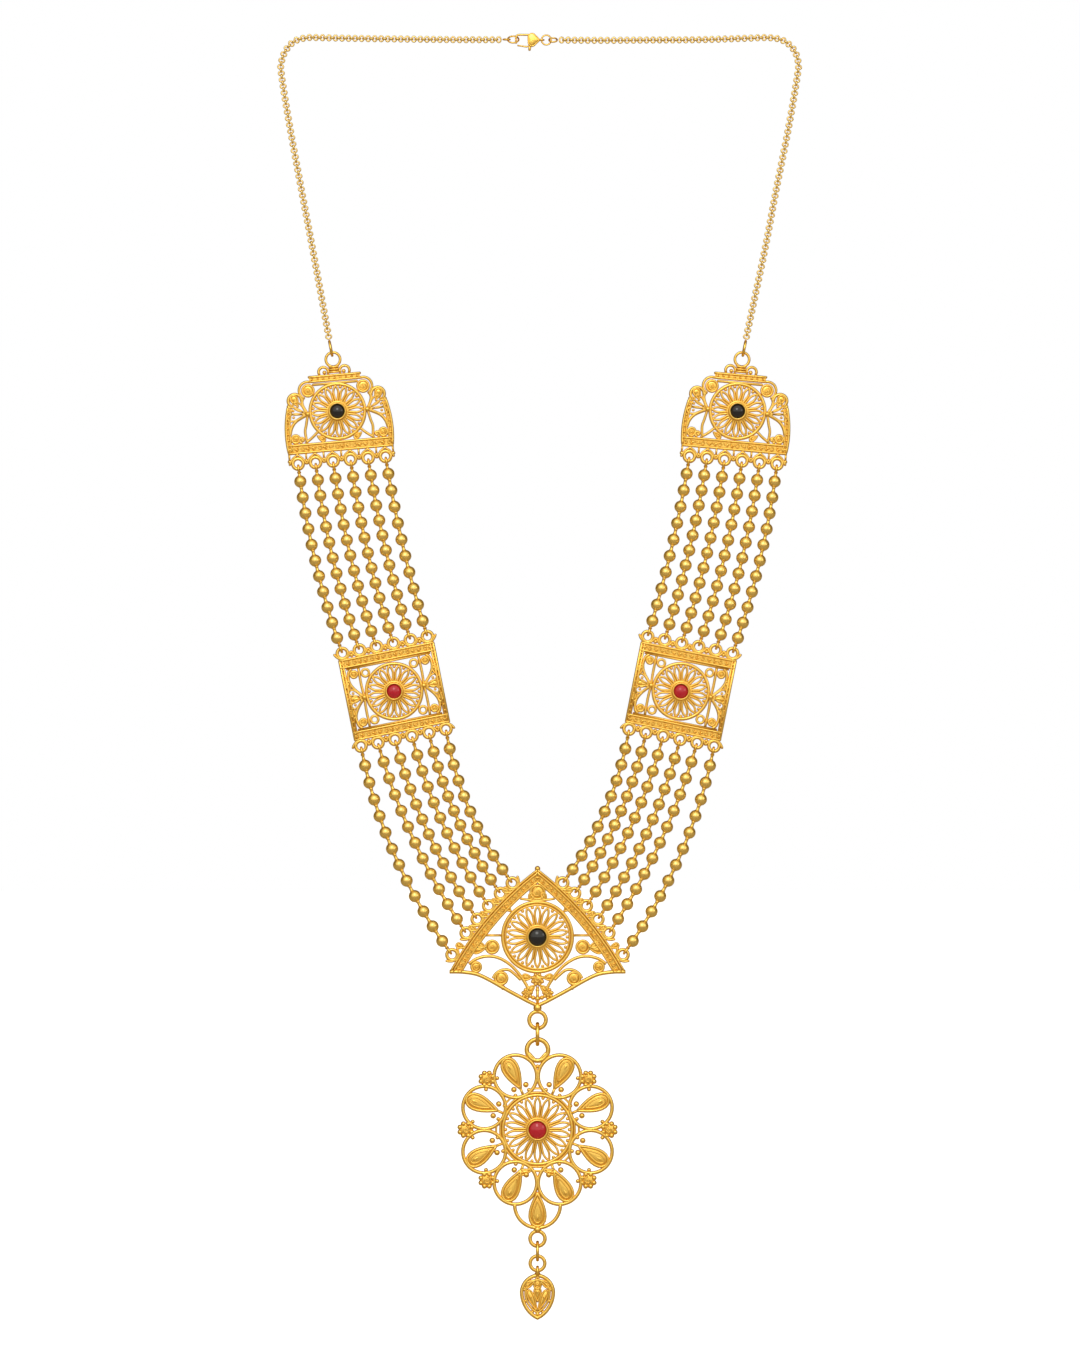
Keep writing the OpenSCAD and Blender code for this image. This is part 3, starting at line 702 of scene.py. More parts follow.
def set_ramp(node, stops):
    """Fills a colour ramp with colours, given as pairs of place and colour."""
    ramp = node.color_ramp
    while len(ramp.elements) < len(stops):
        ramp.elements.new(0.5)
    for element, (spot, colour) in zip(ramp.elements, stops):
        element.position = spot
        element.color = (*colour, 1)


def new_material(name):
    """A new material, with its nodes and its shader."""
    material = bpy.data.materials.new(name)
    material.use_nodes = True
    return material, material.node_tree, material.node_tree.nodes["Principled BSDF"]


def new_object(name, data):
    thing = bpy.data.objects.new(name, data)
    bpy.context.scene.collection.objects.link(thing)
    return thing


# How far the painted amber shade reaches out of a recess in the gold, in metres.
SHADE_REACH = 0.9 * MM
# Fineness of the gold's clouds and of its scratches, and how much amber the clouds add.
CLOUD_SCALE = 260
SCRATCH_SCALE = 2600
CLOUD_DEPTH = 0.22


def gold_shade_and_finish():
    """Polished gold with painted amber shade in its recesses, amber clouds of random tone, fine scratches and
    the soft unevenness of hand work.
    """
    name = "gold_shade_and_finish"
    if name in bpy.data.node_groups:
        return bpy.data.node_groups[name]
    group, source, result = node_group(
        name,
        (
            ("Gold", "NodeSocketColor", (1, 0.64, 0.17, 1)),
            ("Amber", "NodeSocketColor", (0.5, 0.22, 0.03, 1)),
            ("Depth", "NodeSocketFloat", 0.6),
            ("Polish", "NodeSocketFloat", 0.2),
            ("Unevenness", "NodeSocketFloat", 0.1),
        ),
        (("Color", "NodeSocketColor"), ("Roughness", "NodeSocketFloat"), ("Height", "NodeSocketFloat")),
    )
    nodes, links = group.nodes, group.links
    # Painted shade: the gold's colour turns amber where ambient occlusion finds it hidden in a recess.
    recess = nodes.new("ShaderNodeAmbientOcclusion")
    recess.samples = 6
    recess.inputs["Distance"].default_value = SHADE_REACH
    open_part = nodes.new("ShaderNodeMapRange")
    open_part.inputs["From Min"].default_value = 0.1
    open_part.inputs["From Max"].default_value = 0.65
    links.new(recess.outputs["AO"], open_part.inputs["Value"])
    hidden = math_node(group, "SUBTRACT", 1, open_part.outputs["Result"])
    painted_shade = math_node(group, "MULTIPLY", hidden, source.outputs["Depth"])
    cloudy = noise_node(group, CLOUD_SCALE, 3)
    # The amber share is painted shade from the recesses plus the random tone of the clouds.
    shade = math_node(group, "MULTIPLY_ADD", cloudy.outputs["Fac"], CLOUD_DEPTH, painted_shade)
    colour = nodes.new("ShaderNodeMix")
    colour.data_type = "RGBA"
    links.new(shade, colour.inputs["Factor"])
    links.new(source.outputs["Gold"], colour.inputs["A"])
    links.new(source.outputs["Amber"], colour.inputs["B"])
    links.new(colour.outputs["Result"], result.inputs["Color"])
    fine = noise_node(group, SCRATCH_SCALE, 2)
    rough = math_node(
        group, "MULTIPLY_ADD", fine.outputs["Fac"], source.outputs["Unevenness"], source.outputs["Polish"]
    )
    links.new(rough, result.inputs["Roughness"])
    links.new(fine.outputs["Fac"], result.inputs["Height"])
    return group


def gold_finish(name, gold, polish, uneven, depth, relief):
    """Yellow gold, with painted amber shade in its recesses.

    Polish is its roughness and uneven what scratches add to it, depth is the share of painted amber shade in
    recesses, and relief is the height of the unevenness in millimetres.
    """
    if name in bpy.data.materials:
        return bpy.data.materials[name]
    finish = settings().finish
    material, tree, shader = new_material(name)
    shader.inputs["Metallic"].default_value = 1.0
    shader.inputs["Specular Tint"].default_value = (*finish.rim, 1)
    work = tree.nodes.new("ShaderNodeGroup")
    work.node_tree = gold_shade_and_finish()
    work.inputs["Gold"].default_value = (*gold, 1)
    work.inputs["Amber"].default_value = (*finish.amber, 1)
    # Share of painted amber shade where the gold is hidden in its recesses.
    work.inputs["Depth"].default_value = depth
    work.inputs["Polish"].default_value = polish
    work.inputs["Unevenness"].default_value = uneven
    bump = tree.nodes.new("ShaderNodeBump")
    bump.inputs["Distance"].default_value = relief * MM
    bump.inputs["Strength"].default_value = 0.35
    tree.links.new(work.outputs["Color"], shader.inputs["Base Color"])
    tree.links.new(work.outputs["Roughness"], shader.inputs["Roughness"])
    tree.links.new(work.outputs["Height"], bump.inputs["Height"])
    tree.links.new(bump.outputs["Normal"], shader.inputs["Normal"])
    return material


def filigree_gold():
    gold = settings().finish.gold
    return gold_finish("filigree_gold", gold, polish=0.24, uneven=0.16, depth=0.4, relief=0.07)


def bead_gold():
    gold = settings().finish.bead_gold
    return gold_finish("bead_gold", gold, polish=0.01, uneven=0.03, depth=0.4, relief=0.002)


def chain_gold():
    gold = settings().finish.gold
    return gold_finish("chain_gold", gold, polish=0.16, uneven=0.10, depth=0.55, relief=0.02)


def stone_finish(name, colour, clouded):
    """A smooth polished stone with faint clouds of another colour under its surface."""
    if name in bpy.data.materials:
        return bpy.data.materials[name]
    material, tree, shader = new_material(name)
    shader.inputs["Specular IOR Level"].default_value = 0.02
    clouds = noise_node(tree, 500, 2)
    ramp = tree.nodes.new("ShaderNodeValToRGB")
    set_ramp(ramp, ((0.35, colour), (0.8, clouded)))
    tree.links.new(clouds.outputs["Fac"], ramp.inputs["Fac"])
    tree.links.new(ramp.outputs["Color"], shader.inputs["Base Color"])
    rough = tree.nodes.new("ShaderNodeMapRange")
    rough.inputs["To Min"].default_value = 0.16
    rough.inputs["To Max"].default_value = 0.3
    tree.links.new(clouds.outputs["Fac"], rough.inputs["Value"])
    tree.links.new(rough.outputs["Result"], shader.inputs["Roughness"])
    return material


# Pieces.

def plaque_places(side_node, tilt):
    x, z = stone_place(side_node)
    return upright(x, z, tilt)


def top_plaque_half(work):
    """The right half of a top plaque, in its own plane with the stone at the middle."""
    main, fine, grain = wires()
    # Border of two wires with grains between them, swinging out below its middle.
    centre, radius, start, end = (-16.4, -6.5), 32.0, -8.2, 15.5
    border(work, arc(centre, radius - 0.75, start, end, 18), arc(centre, radius + 0.35, start, end, 18))
    work.grain((14.5, 2.6), grain)
    # Open scallop and filled scroll of the shoulder.
    work.wire(arc((12.5, 4.2), 2.0, -50, 185, 14), main * 0.85, main, round_ends=True)
    small_leaf(work, (11.8, 2.6), 66, 3.4, 2.2)
    scroll(work, (8.3, 6.9), 2.1, 200)
    work.wire(arc((8.4, 7.0), 2.6, -60, 105, 14), fine, fine * 1.5, round_ends=True)
    # Grain beside the flower, with the wires that fan out from it.
    knot = Vector((8.95, -0.1))
    work.grain(knot, grain * 1.35, 0.2)
    work.wire(swing([knot, (10.0, 1.9), (10.4, 3.5), (9.9, 5.0)]), main * 0.8, main)
    work.wire(swing([knot, (12.5, -1.9), (14.1, -3.8), (14.8, -6.0)]), main * 0.85, main)
    work.wire(swing([knot, (9.7, -3.3), (10.2, -5.4), (9.9, -8.6)]), fine, fine * 1.5)
    work.wire(swing([(6.4, -5.6), (8.2, -7.2), (10.4, -8.7)]), fine, fine * 1.5)
    for angle, length in ((42, 4.6), (17, 5.6), (-9, 5.4)):
        small_leaf(work, knot + ray(0.8, angle), angle, length, 2.2, backed=False)
    # Scrolls in the corner, and a small leaf beside them.
    scroll(work, (13.2, -7.3), 1.6, 90, -1)
    curl(work, (11.3, -7.7), 0.95, -90, 1.2)
    small_leaf(work, (6.6, -6.9), 215, 2.6, 1.3)


def top_plaque():
    work = Goldwork()
    main, fine, grain = wires()
    top_plaque_half(work)
    # Curls above the top bar.
    work.wire(arc((3.2, 12.1), 1.45, -25, 200, 14), main * 0.75, main, round_ends=True)
    work.grain((2.9, 11.9), grain)
    work.mirrored()
    flower(work, 16, 2.7, 8.2)
    cup(work, 2.1)
    # Lower bar, the wires below it, and the loops.
    half = TOP_HALF_W - 0.4
    steps = [half * (i / 8 - 1) for i in range(17)]
    worked_band(work, [Vector((x, -11.5)) for x in steps], [Vector((x, -9.15)) for x in steps], 1.5)
    places = loop_row(TOP_LOOP_PITCH, TOP_LOOP_Y)
    for i in range(STRING_COUNT + 1):
        x = (i - STRING_COUNT / 2) * TOP_LOOP_PITCH
        x = max(-half, min(half, x))
        work.wire([(x, -11.7), (x, -13.4)], fine * 0.8, fine * 1.4, sides=6)
        work.grain((x, -13.9), grain)
    loops(work, places, Vector((0, -1)), 2.7)
    # Top bar with a wire under it, its knuckle of three bands, and the ring it hangs on.
    top = [7.7 * (i / 5 - 1) for i in range(11)]
    worked_band(work, [Vector((x, 9.5)) for x in top], [Vector((x, 10.9)) for x in top], 1.5)
    work.wire([(-6.6, 8.55), (6.6, 8.55)], fine, fine * 1.4, round_ends=True)
    for y in (11.9, 12.65, 13.4):
        work.wire([(-1.3, y), (1.3, y)], 0.8, 1.5, sides=10, round_ends=True)
    work.ring((0, HANGER_RING_Y), HANGER_RING_R, HANGER_RING_WIRE, steps=36, sides=12)
    return work


def mid_plaque_quarter(work):
    """The right upper quarter of a middle plaque."""
    main, fine, _ = wires()
    knot = Vector((9.1, 0))
    work.wire(swing([knot, (9.3, 4.0), (9.2, 8.9)]), fine, fine * 1.5)
    work.wire(swing([knot, (11.6, 2.9), (12.7, 5.4), (12.4, 8.0), (11.4, 9.0)]), main * 0.8, main)
    scroll(work, (10.9, 7.3), 1.4, 0, 1)
    work.ring((7.4, 7.15), 1.1, fine, steps=22, sides=8)
    small_leaf(work, knot + ray(0.8, 30), 30, 4.2, 1.9, backed=False)
    small_leaf(work, (13.2, 2.4), 92, 3.2, 1.4)


def mid_plaque():
    work = Goldwork()
    _, fine, grain = wires()
    upper = Goldwork()
    mid_plaque_quarter(upper)
    lower = Goldwork()
    mid_plaque_quarter(lower)
    lower.corners = [Vector((c[0], -c[1], c[2])) for c in lower.corners]
    lower.faces = [tuple(reversed(face)) for face in lower.faces]
    work.add(upper)
    work.add(lower)
    work.grain((9.1, 0), grain * 1.4, 0.2)
    small_leaf(work, (9.9, 0), 0, 3.6, 2.2)
    border(work, [Vector((13.45, y)) for y in (-12, 0, 12)], [Vector((14.3, y)) for y in (-12, 0, 12)])
    work.mirrored()
    flower(work, 16, 2.7, 8.3)
    cup(work, 2.1)
    steps = [(MID_HALF_W - 0.4) * (i / 8 - 1) for i in range(17)]
    for sign in (-1, 1):
        edges = [[Vector((x, sign * y)) for x in steps] for y in (9.85, 12.05)]
        worked_band(work, edges[0], edges[1], 1.5)
        work.wire([(-12.9, sign * 9.2), (12.9, sign * 9.2)], fine * 0.8, 1.2)
        places = loop_row(MID_LOOP_PITCH, sign * MID_LOOP_Y)
        loops(work, places, Vector((0, sign)), 2.1)
        for i in range(1, STRING_COUNT):
            x = (i - STRING_COUNT / 2) * MID_LOOP_PITCH
            work.grain((x, sign * 13.1), grain)
    return work


def centre_plaque():
    work = Goldwork()
    main, fine, grain = wires()
    edge = Bow(CENTRE_APEX, CENTRE_TIP, CENTRE_BULGE)
    # Worked bar along the upper edge, between the point and the tip.
    outer_line = edge.points(-1.05, 24, 0.4, edge.length - 0.3)
    inner_line = edge.points(-3.1, 24, 2.4, edge.length - 1.5)
    worked_band(work, inner_line, outer_line, 1.6)
    work.wire(edge.points(-0.3, 24, 0, edge.length), fine * 0.85, 1.4, round_ends=True)
    # Lower edge, its scrolls, and the arches.
    lower_edge = [
        CENTRE_TIP, (-22.4, -10.5), (-18.1, -11.2), (-14.2, -13.0), (-11.2, -14.7), (-8.0, -16.5),
        (-5.4, -17.9), (-2.6, -19.4), (0, CENTRE_NECK_Y),
    ]
    work.wire(swing(lower_edge), main, 1.4, sides=10)
    long_arch = [
        (-20.6, -8.1), (-18.4, -6.6), (-15.4, -5.8), (-12.2, -6.1), (-9.0, -7.7), (-6.2, -10.3),
        (-3.9, -13.5), (-2.6, -15.9),
    ]
    work.wire(swing(long_arch), main * 0.85, main)
    short_arch = [(-13.4, -12.4), (-12.4, -10.9), (-10.6, -9.9), (-8.6, -9.9), (-6.8, -11.2), (-5.0, -12.9)]
    work.wire(swing(short_arch), main * 0.8, main)
    scroll(work, (-18.4, -9.0), 1.85, 60, -1)
    scroll(work, (-10.9, -12.4), 2.25, 120, 1)
    work.grain((-10.3, -15.2), grain * 1.2)
    # Leaves between the flower and the bar.
    scroll(work, (-13.6, -3.0), 2.3, 90, 1)
    for angle, length in ((158, 3.8), (196, 4.2)):
        small_leaf(work, (-15.4, -3.2), angle, length, 1.9)
    work.wire([(-10.6, 0.5), (-16.6, 0.5)], fine * 0.9, fine * 1.4)
    small_leaf(work, (-8.0, 7.7), 135, 2.8, 1.8)
    small_leaf(work, (-2.6, 11.0), 60, 2.4, 1.6)
    # Small flowers above the neck.
    rosette(work, (-3.1, -17.0), 1.8, 7)
    small_leaf(work, (-1.8, -12.2), 176, 2.8, 1.9)
    small_leaf(work, (-0.9, -14.6), 222, 2.6, 1.6)
    work.grain((-1.3, -18.2), grain * 1.1)
    # Leaves beside the loops.
    slope = degrees(atan2(CENTRE_WAY[1], CENTRE_WAY[0]))
    for along in (10.6, 15.4, 20.6, 26.0, 32.4):
        small_leaf(work, edge.point(along, -0.2), slope - 68, 2.6, 1.6)
    # Loops on the outer edge, each on its peg.
    places = centre_loop_places()
    loops(work, places, CENTRE_OUT, 2.2)
    for place in places:
        foot = place - CENTRE_OUT * LOOP_R
        work.wire([foot, foot - CENTRE_OUT * 1.4], LOOP_WIRE + 0.15, sides=8)
    work.mirrored()
    work.grain(CENTRE_APEX, 1.7)
    flower(work, 18, 3.2, 10.45, twin=True)
    cup(work, 2.6)
    scroll(work, (0, 13.4), 2.5, 90, 1)
    work.wire(swing([(-5.2, 11.5), (0, 10.9), (5.2, 11.5)]), fine * 0.9, fine * 1.5)
    rosette(work, (0, -12.8), 2.1)
    work.wire([(0, -14.8), (0, -20.2)], main * 0.8, main)
    work.grain((0, -15.9), grain)
    work.grain((0, -18.5), grain * 1.4)
    neck = [(-0.9, 0), (-0.9, 0.9), (-0.3, 1.25), (0.5, 1.2), (1.3, 0.7), (1.6, 0)]
    work.turn(neck, (0, -21.3, 0), (0, 1, 0))
    work.ring((0, PENDANT_RING_Y), PENDANT_RING_R, PENDANT_RING_WIRE, steps=40, sides=12)
    return work


def medallion_saddle(work, angle):
    """The grain and the short wire where two rings of the medallion meet its flower."""
    _, fine, grain = wires()
    work.grain(ray(14.6, angle), grain)
    work.wire(arc((0, 0), 12.4, angle - 6, angle + 6, 6), fine * 0.8, fine * 1.3, round_ends=True)


def medallion():
    work = Goldwork()
    main, fine, grain = wires()
    # Rings of the right half, each with the angles of its leaf's foot and of the leaf.
    for angle, foot, way in ((67.5, 67.5, 63), (22.5, 25.5, 22), (-22.5, -21.5, -32), (-67.5, -68, -63)):
        work.ring(ray(PETAL_ORBIT, angle), PETAL_R, main * 0.95, steps=44, height=main * 1.1)
        nested_leaf(work, ray(13.3, foot), way, 10.0, 4.8)
        for turn in (-8, 8):
            work.grain(ray(13.95, foot + turn), 1.75, 0.1)
            work.grain(ray(12.2, foot + turn * 1.3), grain)
        work.wire([ray(11.2, foot), ray(13.6, foot)], fine, fine * 1.4)
    for angle in (45, 0, -45):
        rosette(work, ray(21.5, angle), 2.65)
        for turn in (-7, 7):
            work.grain(ray(19.6, angle + turn), grain)
        medallion_saddle(work, angle)
    small_leaf(work, (1.6, -12.1), -14, 4.4, 1.7)
    work.mirrored()
    for angle in (90, -90):
        medallion_saddle(work, angle)
    # Half ring below, with its leaf.
    work.wire(arc((0, -22.6), 6.85, 177, 363, 30), main * 0.95, main * 1.1, sides=10)
    nested_leaf(work, (0, -19.0), -90, 10.0, 4.9)
    flower(work, 18, 3.2, 10.35)
    work.ring((0, 0), 11.2, fine * 0.8, steps=64, height=fine * 1.4)
    cup(work, 2.6)
    # Round loop above, pointed inside, and the eye below.
    work.ring((0, MEDALLION_LOOP_Y), MEDALLION_LOOP_R + 0.1, MEDALLION_LOOP_WIRE + 0.15, sides=12)
    point = [(-2.5, 22.9), (-1.3, 21.6), (0, 20.4), (1.3, 21.6), (2.5, 22.9)]
    work.wire(point, main * 0.8, main, round_ends=True)
    work.grain((0, 19.0), grain)
    work.grain((0, 17.5), grain * 0.9)
    work.turn([(-0.9, 0), (-0.9, 0.8), (0, 1.2), (0.9, 0.8), (0.9, 0)], (0, -29.9, 0), (0, 1, 0))
    work.ring((0, DROP_EYE_Y), DROP_EYE_R, DROP_EYE_WIRE, steps=36, sides=12)
    return work


def leaf_drop(bail_z, bail_r, bail_wire):
    work = Goldwork()
    main, fine, grain = wires()
    work.edge_ring((0, bail_z), 90, bail_r, bail_wire)
    top = Vector((0, bail_z - bail_r + 0.2))
    half = 10.7 / 2 - main * 0.5
    upper = Bow(top + Vector((0, -0.3)), top + Vector((-half, -LEAF_SHOULDER)), 1.25)
    lower = Bow(top + Vector((-half, -LEAF_SHOULDER)), top + Vector((0, -LEAF_H + 0.5)), 1.3)
    side = [*upper.points(0, 8), *lower.points(0, 10)[1:]]
    rim = [*side, *reversed(flipped(side[1:-1]))]
    work.wire(rim, main, 1.4, closed=True, sides=10)
    middle = top + Vector((0, -6.2))
    work.wire([middle + (p - middle) * 0.77 for p in rim], fine * 0.9, fine * 1.5, closed=True)
    # Leaves and grains on one side: slits stay open between them and beside the middle wedge.
    inner = Goldwork()
    small_leaf(inner, top + Vector((-0.2, -11.0)), 113, 6.8, 1.9)
    small_leaf(inner, top + Vector((-0.7, -1.7)), 214, 4.0, 1.7)
    for spot in ((-4.0, -4.6), (-3.5, -8.0), (-1.6, -11.3), (-2.6, -1.5)):
        inner.grain(top + Vector(spot), grain * 0.9)
    inner.mirrored()
    work.add(inner)
    small_leaf(work, top + Vector((0, -8.2)), 90, 4.4, 2.1)
    small_leaf(work, top + Vector((0, -0.6)), -90, 3.8, 2.2)
    work.grain(top + Vector((0, -12.0)), grain * 1.1, 0.1)
    work.grain(top, grain * 1.5)
    return work


def bead_profile(radius, hole, rows=14):
    """Profile of a round bead from one end of its hole to the other."""
    start = asin(hole / radius)
    points = []
    for i in range(rows + 1):
        angle = start + (pi - 2 * start) * i / rows
        points.append((-radius * cos(angle), radius * sin(angle)))
    return points


def string_line(kind, number):
    """The bow of a left string, with its beads, their number and its ends."""
    i = number - 1
    tilts = settings().wires
    top_tilt, mid_tilt = degrees(tilts.tilt_top), degrees(tilts.tilt_mid)
    top, mid = Vector(stone_place("left_top_stone")), Vector(stone_place("left_mid_stone"))
    if kind == "upper":
        count, rise = UPPER_STRINGS[i]
        start = top + turned(loop_row(TOP_LOOP_PITCH, TOP_LOOP_Y)[i], top_tilt)
        end = mid + turned(loop_row(MID_LOOP_PITCH, MID_LOOP_Y)[i], mid_tilt)
        return Bow(start, end, rise), count, UPPER_ENDS
    count, rise = LOWER_STRINGS[i]
    start = mid + turned(loop_row(MID_LOOP_PITCH, -MID_LOOP_Y)[i], mid_tilt)
    _, centre_z = stone_place("centre_stone")
    end = Vector((0, centre_z)) + centre_loop_places()[i]
    return Bow(start, end, rise), count, LOWER_ENDS


def bead_spots(line, count, ends):
    first, last = ends[0], line.length - ends[1]
    return [first + (last - first) * k / (count - 1) for k in range(count)]


def bead_string(line, count, ends):
    sizes = settings().beads
    work = Goldwork()
    profile = bead_profile(sizes.bead / MM / 2, 0.5)
    for along in bead_spots(line, count, ends):
        work.turn(profile, line.point(along), line.way(along), sides=24)
    return work


def bead_wires(work, line, count, ends):
    """Necks between the beads, and at each end a stem with a ring."""
    sizes = settings().beads
    neck, flare, radius = sizes.neck / MM / 2, sizes.flare / MM / 2, sizes.bead / MM / 2
    spots = bead_spots(line, count, ends)
    for a, b in zip(spots, spots[1:]):
        half = (b - a) / 2 - radius * 0.9
        profile = [(-half - 0.4, 0), (-half, flare), (-half * 0.5, neck), (half * 0.5, neck), (half, flare),
                   (half + 0.4, 0)]
        middle = (a + b) / 2
        work.turn(profile, line.point(middle), line.way(middle), sides=12)
    eye = LOOP_R + EYE_R - (EYE_WIRE + LOOP_WIRE) / 2 - GAP
    for spot, loop_end, way in ((spots[0], 0.0, 1), (spots[-1], line.length, -1)):
        centre = loop_end + way * eye
        work.edge_ring(line.point(centre), line.angle(centre) + 90, EYE_R, EYE_WIRE, steps=24)
        start, end = centre + way * EYE_R, spot - way * radius * 0.9
        middle, half = (start + end) / 2, abs(end - start) / 2
        profile = [(-half - 0.2, 0), (-half - 0.2, 0.55), (-half + 0.3, 0.62), (-half * 0.3, 0.42),
                   (half * 0.4, 0.45), (half, 0.66), (half + 0.3, 0)]
        if way < 0:
            profile = [(-along, off) for along, off in reversed(profile)]
        work.turn(profile, line.point(middle), line.way(middle), sides=12)


def chain_links(side):
    """Round links, every second one seen from its edge, along the chain's route."""
    sizes = settings().chain
    work = Goldwork()
    path = [Vector(p) for p in swing(ROUTES[side], 5)]
    length = sum((b - a).length for a, b in zip(path, path[1:]))
    wire = sizes.link_wire / MM
    long_r, wide_r = (sizes.link_long / MM - wire) / 2, (sizes.link_wide / MM - wire) / 2
    reach = length - 2 * (long_r + wire / 2)
    count = round(reach / (sizes.link_pitch / MM))
    for i in range(count + 1):
        spot, way = along_path(path, long_r + wire / 2 + reach * i / count)
        way = way.to_3d()
        across = UP if i % 2 else way.cross(UP)
        link = round_path(spot, way, across, long_r, wide_r, 14)
        work.wire(link, wire, closed=True, sides=6, up=way.cross(across))
    return work


def cabochon(radius, base):
    """A smooth round stone with a straight edge and a low dome, in the piece's plane."""
    work = Goldwork()
    girdle, dome = 0.6, 0.95
    dome_r = (radius**2 + dome**2) / (2 * dome)
    profile = [(base, 0), (base, radius - 0.05), (base + 0.05, radius), (base + girdle, radius)]
    rows = 10
    reach = asin(radius / dome_r)
    for i in range(1, rows + 1):
        angle = reach * (1 - i / rows)
        height = base + girdle + dome - dome_r * (1 - cos(angle))
        profile.append((height, 0 if i == rows else dome_r * sin(angle)))
    work.turn(profile, (0, 0, 0), UP, sides=40)
    return work


def clasp_body():
    """The clasp's heart of two domed cheeks, its hook, the lever's pin and the eye."""
    work = Goldwork()
    outline = [
        *arc((-1.65, 0.75), 1.35, 58, 190, 12), *arc((-1.65, -0.75), 1.3, 170, 302, 12), Vector((0.55, -0.4)),
        Vector((0.8, 0)), Vector((0.55, 0.4)),
    ]
    middle = (-1.45, 0)
    cheek = ((1.0, 0.48), (1.0, 0.6), (0.94, 0.74), (0.8, 0.86), (0.55, 0.95), (0.2, 1.0))
    work.cushion(outline, middle, cheek)
    work.cushion(outline, middle, [(part, -height) for part, height in reversed(cheek)])
    rim = [Vector(middle) + (p - Vector(middle)) * 0.9 for p in outline]
    work.wire(rim, 0.4, 0.4, closed=True, lift=0.72)
    core = ((-2.7, 0), (-0.9, -0.4), (0.5, -0.3), (0.5, 0.3), (-1.0, 1.7), (-2.4, 1.5))
    work.sheet([Vector(p) for p in core], -0.6, 0.6)
    hook = swing([(-1.9, 1.52), (-3.8, 1.55), (-5.7, 1.52), (-6.35, 1.15), (-6.45, 0.4), (-6.42, -0.9)], 4)
    work.wire(hook, 0.62, 0.8, sides=10, round_ends=True)
    work.turn([(-0.95, 0), (-0.9, 0.3), (0.9, 0.3), (0.95, 0)], (*LEVER_PIN, 0), UP)
    work.edge_ring((1.2, 0), 0, 0.7, CLASP_WIRE)
    return work


def clasp_lever():
    """The lever, from its hub on the pin to its tip in the hook, with the thumb piece below."""
    work = Goldwork()
    hub = [(-0.38, 0), (-0.38, 0.5), (-0.25, 0.62), (0.25, 0.62), (0.38, 0.5), (0.38, 0)]
    work.turn(hub, (*LEVER_PIN, 0), UP, 24)
    arm = swing([LEVER_PIN, (-3.1, -2.0), (-4.6, -1.85), (-5.9, -1.67)])
    work.wire(arm, 0.5, 0.66, sides=10, round_ends=True)
    thumb_piece = [(-2.1, -1.6), (-2.35, -2.5), (-2.4, -2.95)]
    work.wire(thumb_piece, 0.85, 0.7, sides=10, round_ends=True)
    return work


def hanger_link():
    """The left ring between the end of the chain and the top plaque's ring."""
    work = Goldwork()
    wire, radius = 0.8, 2.2
    tilt = degrees(settings().wires.tilt_top)
    ring = Vector(stone_place("left_top_stone")) + turned((0, HANGER_RING_Y), tilt)
    way = (Vector(ROUTES[LEFT][-1]) - ring).normalized()
    out = HANGER_RING_R - (HANGER_RING_WIRE + wire) / 2 - GAP + radius
    work.edge_ring(ring + way * out, degrees(atan2(way[1], way[0])), radius, wire)
    return work


def box_middle(node):
    low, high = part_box(node)
    return (low + high) / 2, high - low


class MakeTopPlaques(bpy.types.Operator):
    """Makes the two top plaques of wire, grains and worked bars"""

    bl_idname = "necklace.top_plaques"
    bl_label = "Top plaques"

    def execute(self, context):
        place = plaque_places("left_top_stone", settings().wires.tilt_top)
        for side in SIDES:
            top_plaque().piece(
                f"{side}_top_filigree", place, filigree_gold(), [f"{side}_top_plaque"], flip=side == RIGHT
            )
        return {"FINISHED"}


class MakeMiddlePlaques(bpy.types.Operator):
    """Makes the two middle plaques of wire, grains and worked bars"""

    bl_idname = "necklace.middle_plaques"
    bl_label = "Middle plaques"

    def execute(self, context):
        place = plaque_places("left_mid_stone", settings().wires.tilt_mid)
        for side in SIDES:
            mid_plaque().piece(
                f"{side}_mid_filigree", place, filigree_gold(), [f"{side}_mid_plaque"], flip=side == RIGHT
            )
        return {"FINISHED"}


class MakeCentrePlaque(bpy.types.Operator):
    """Makes the pointed centre plaque with its flower, arches and scrolls"""

    bl_idname = "necklace.centre_plaque"
    bl_label = "Centre plaque"

    def execute(self, context):
        place = plaque_places("centre_stone", 0)
        centre_plaque().piece("centre_filigree", place, filigree_gold(), ["centre_plaque"])
        return {"FINISHED"}


class MakeMedallion(bpy.types.Operator):
    """Makes the medallion of eight wire rings about a flower"""

    bl_idname = "necklace.medallion"
    bl_label = "Medallion"

    def execute(self, context):
        place = plaque_places("medallion_stone", 0)
        medallion().piece("medallion_filigree", place, filigree_gold(), ["medallion"], body="medallion")
        return {"FINISHED"}


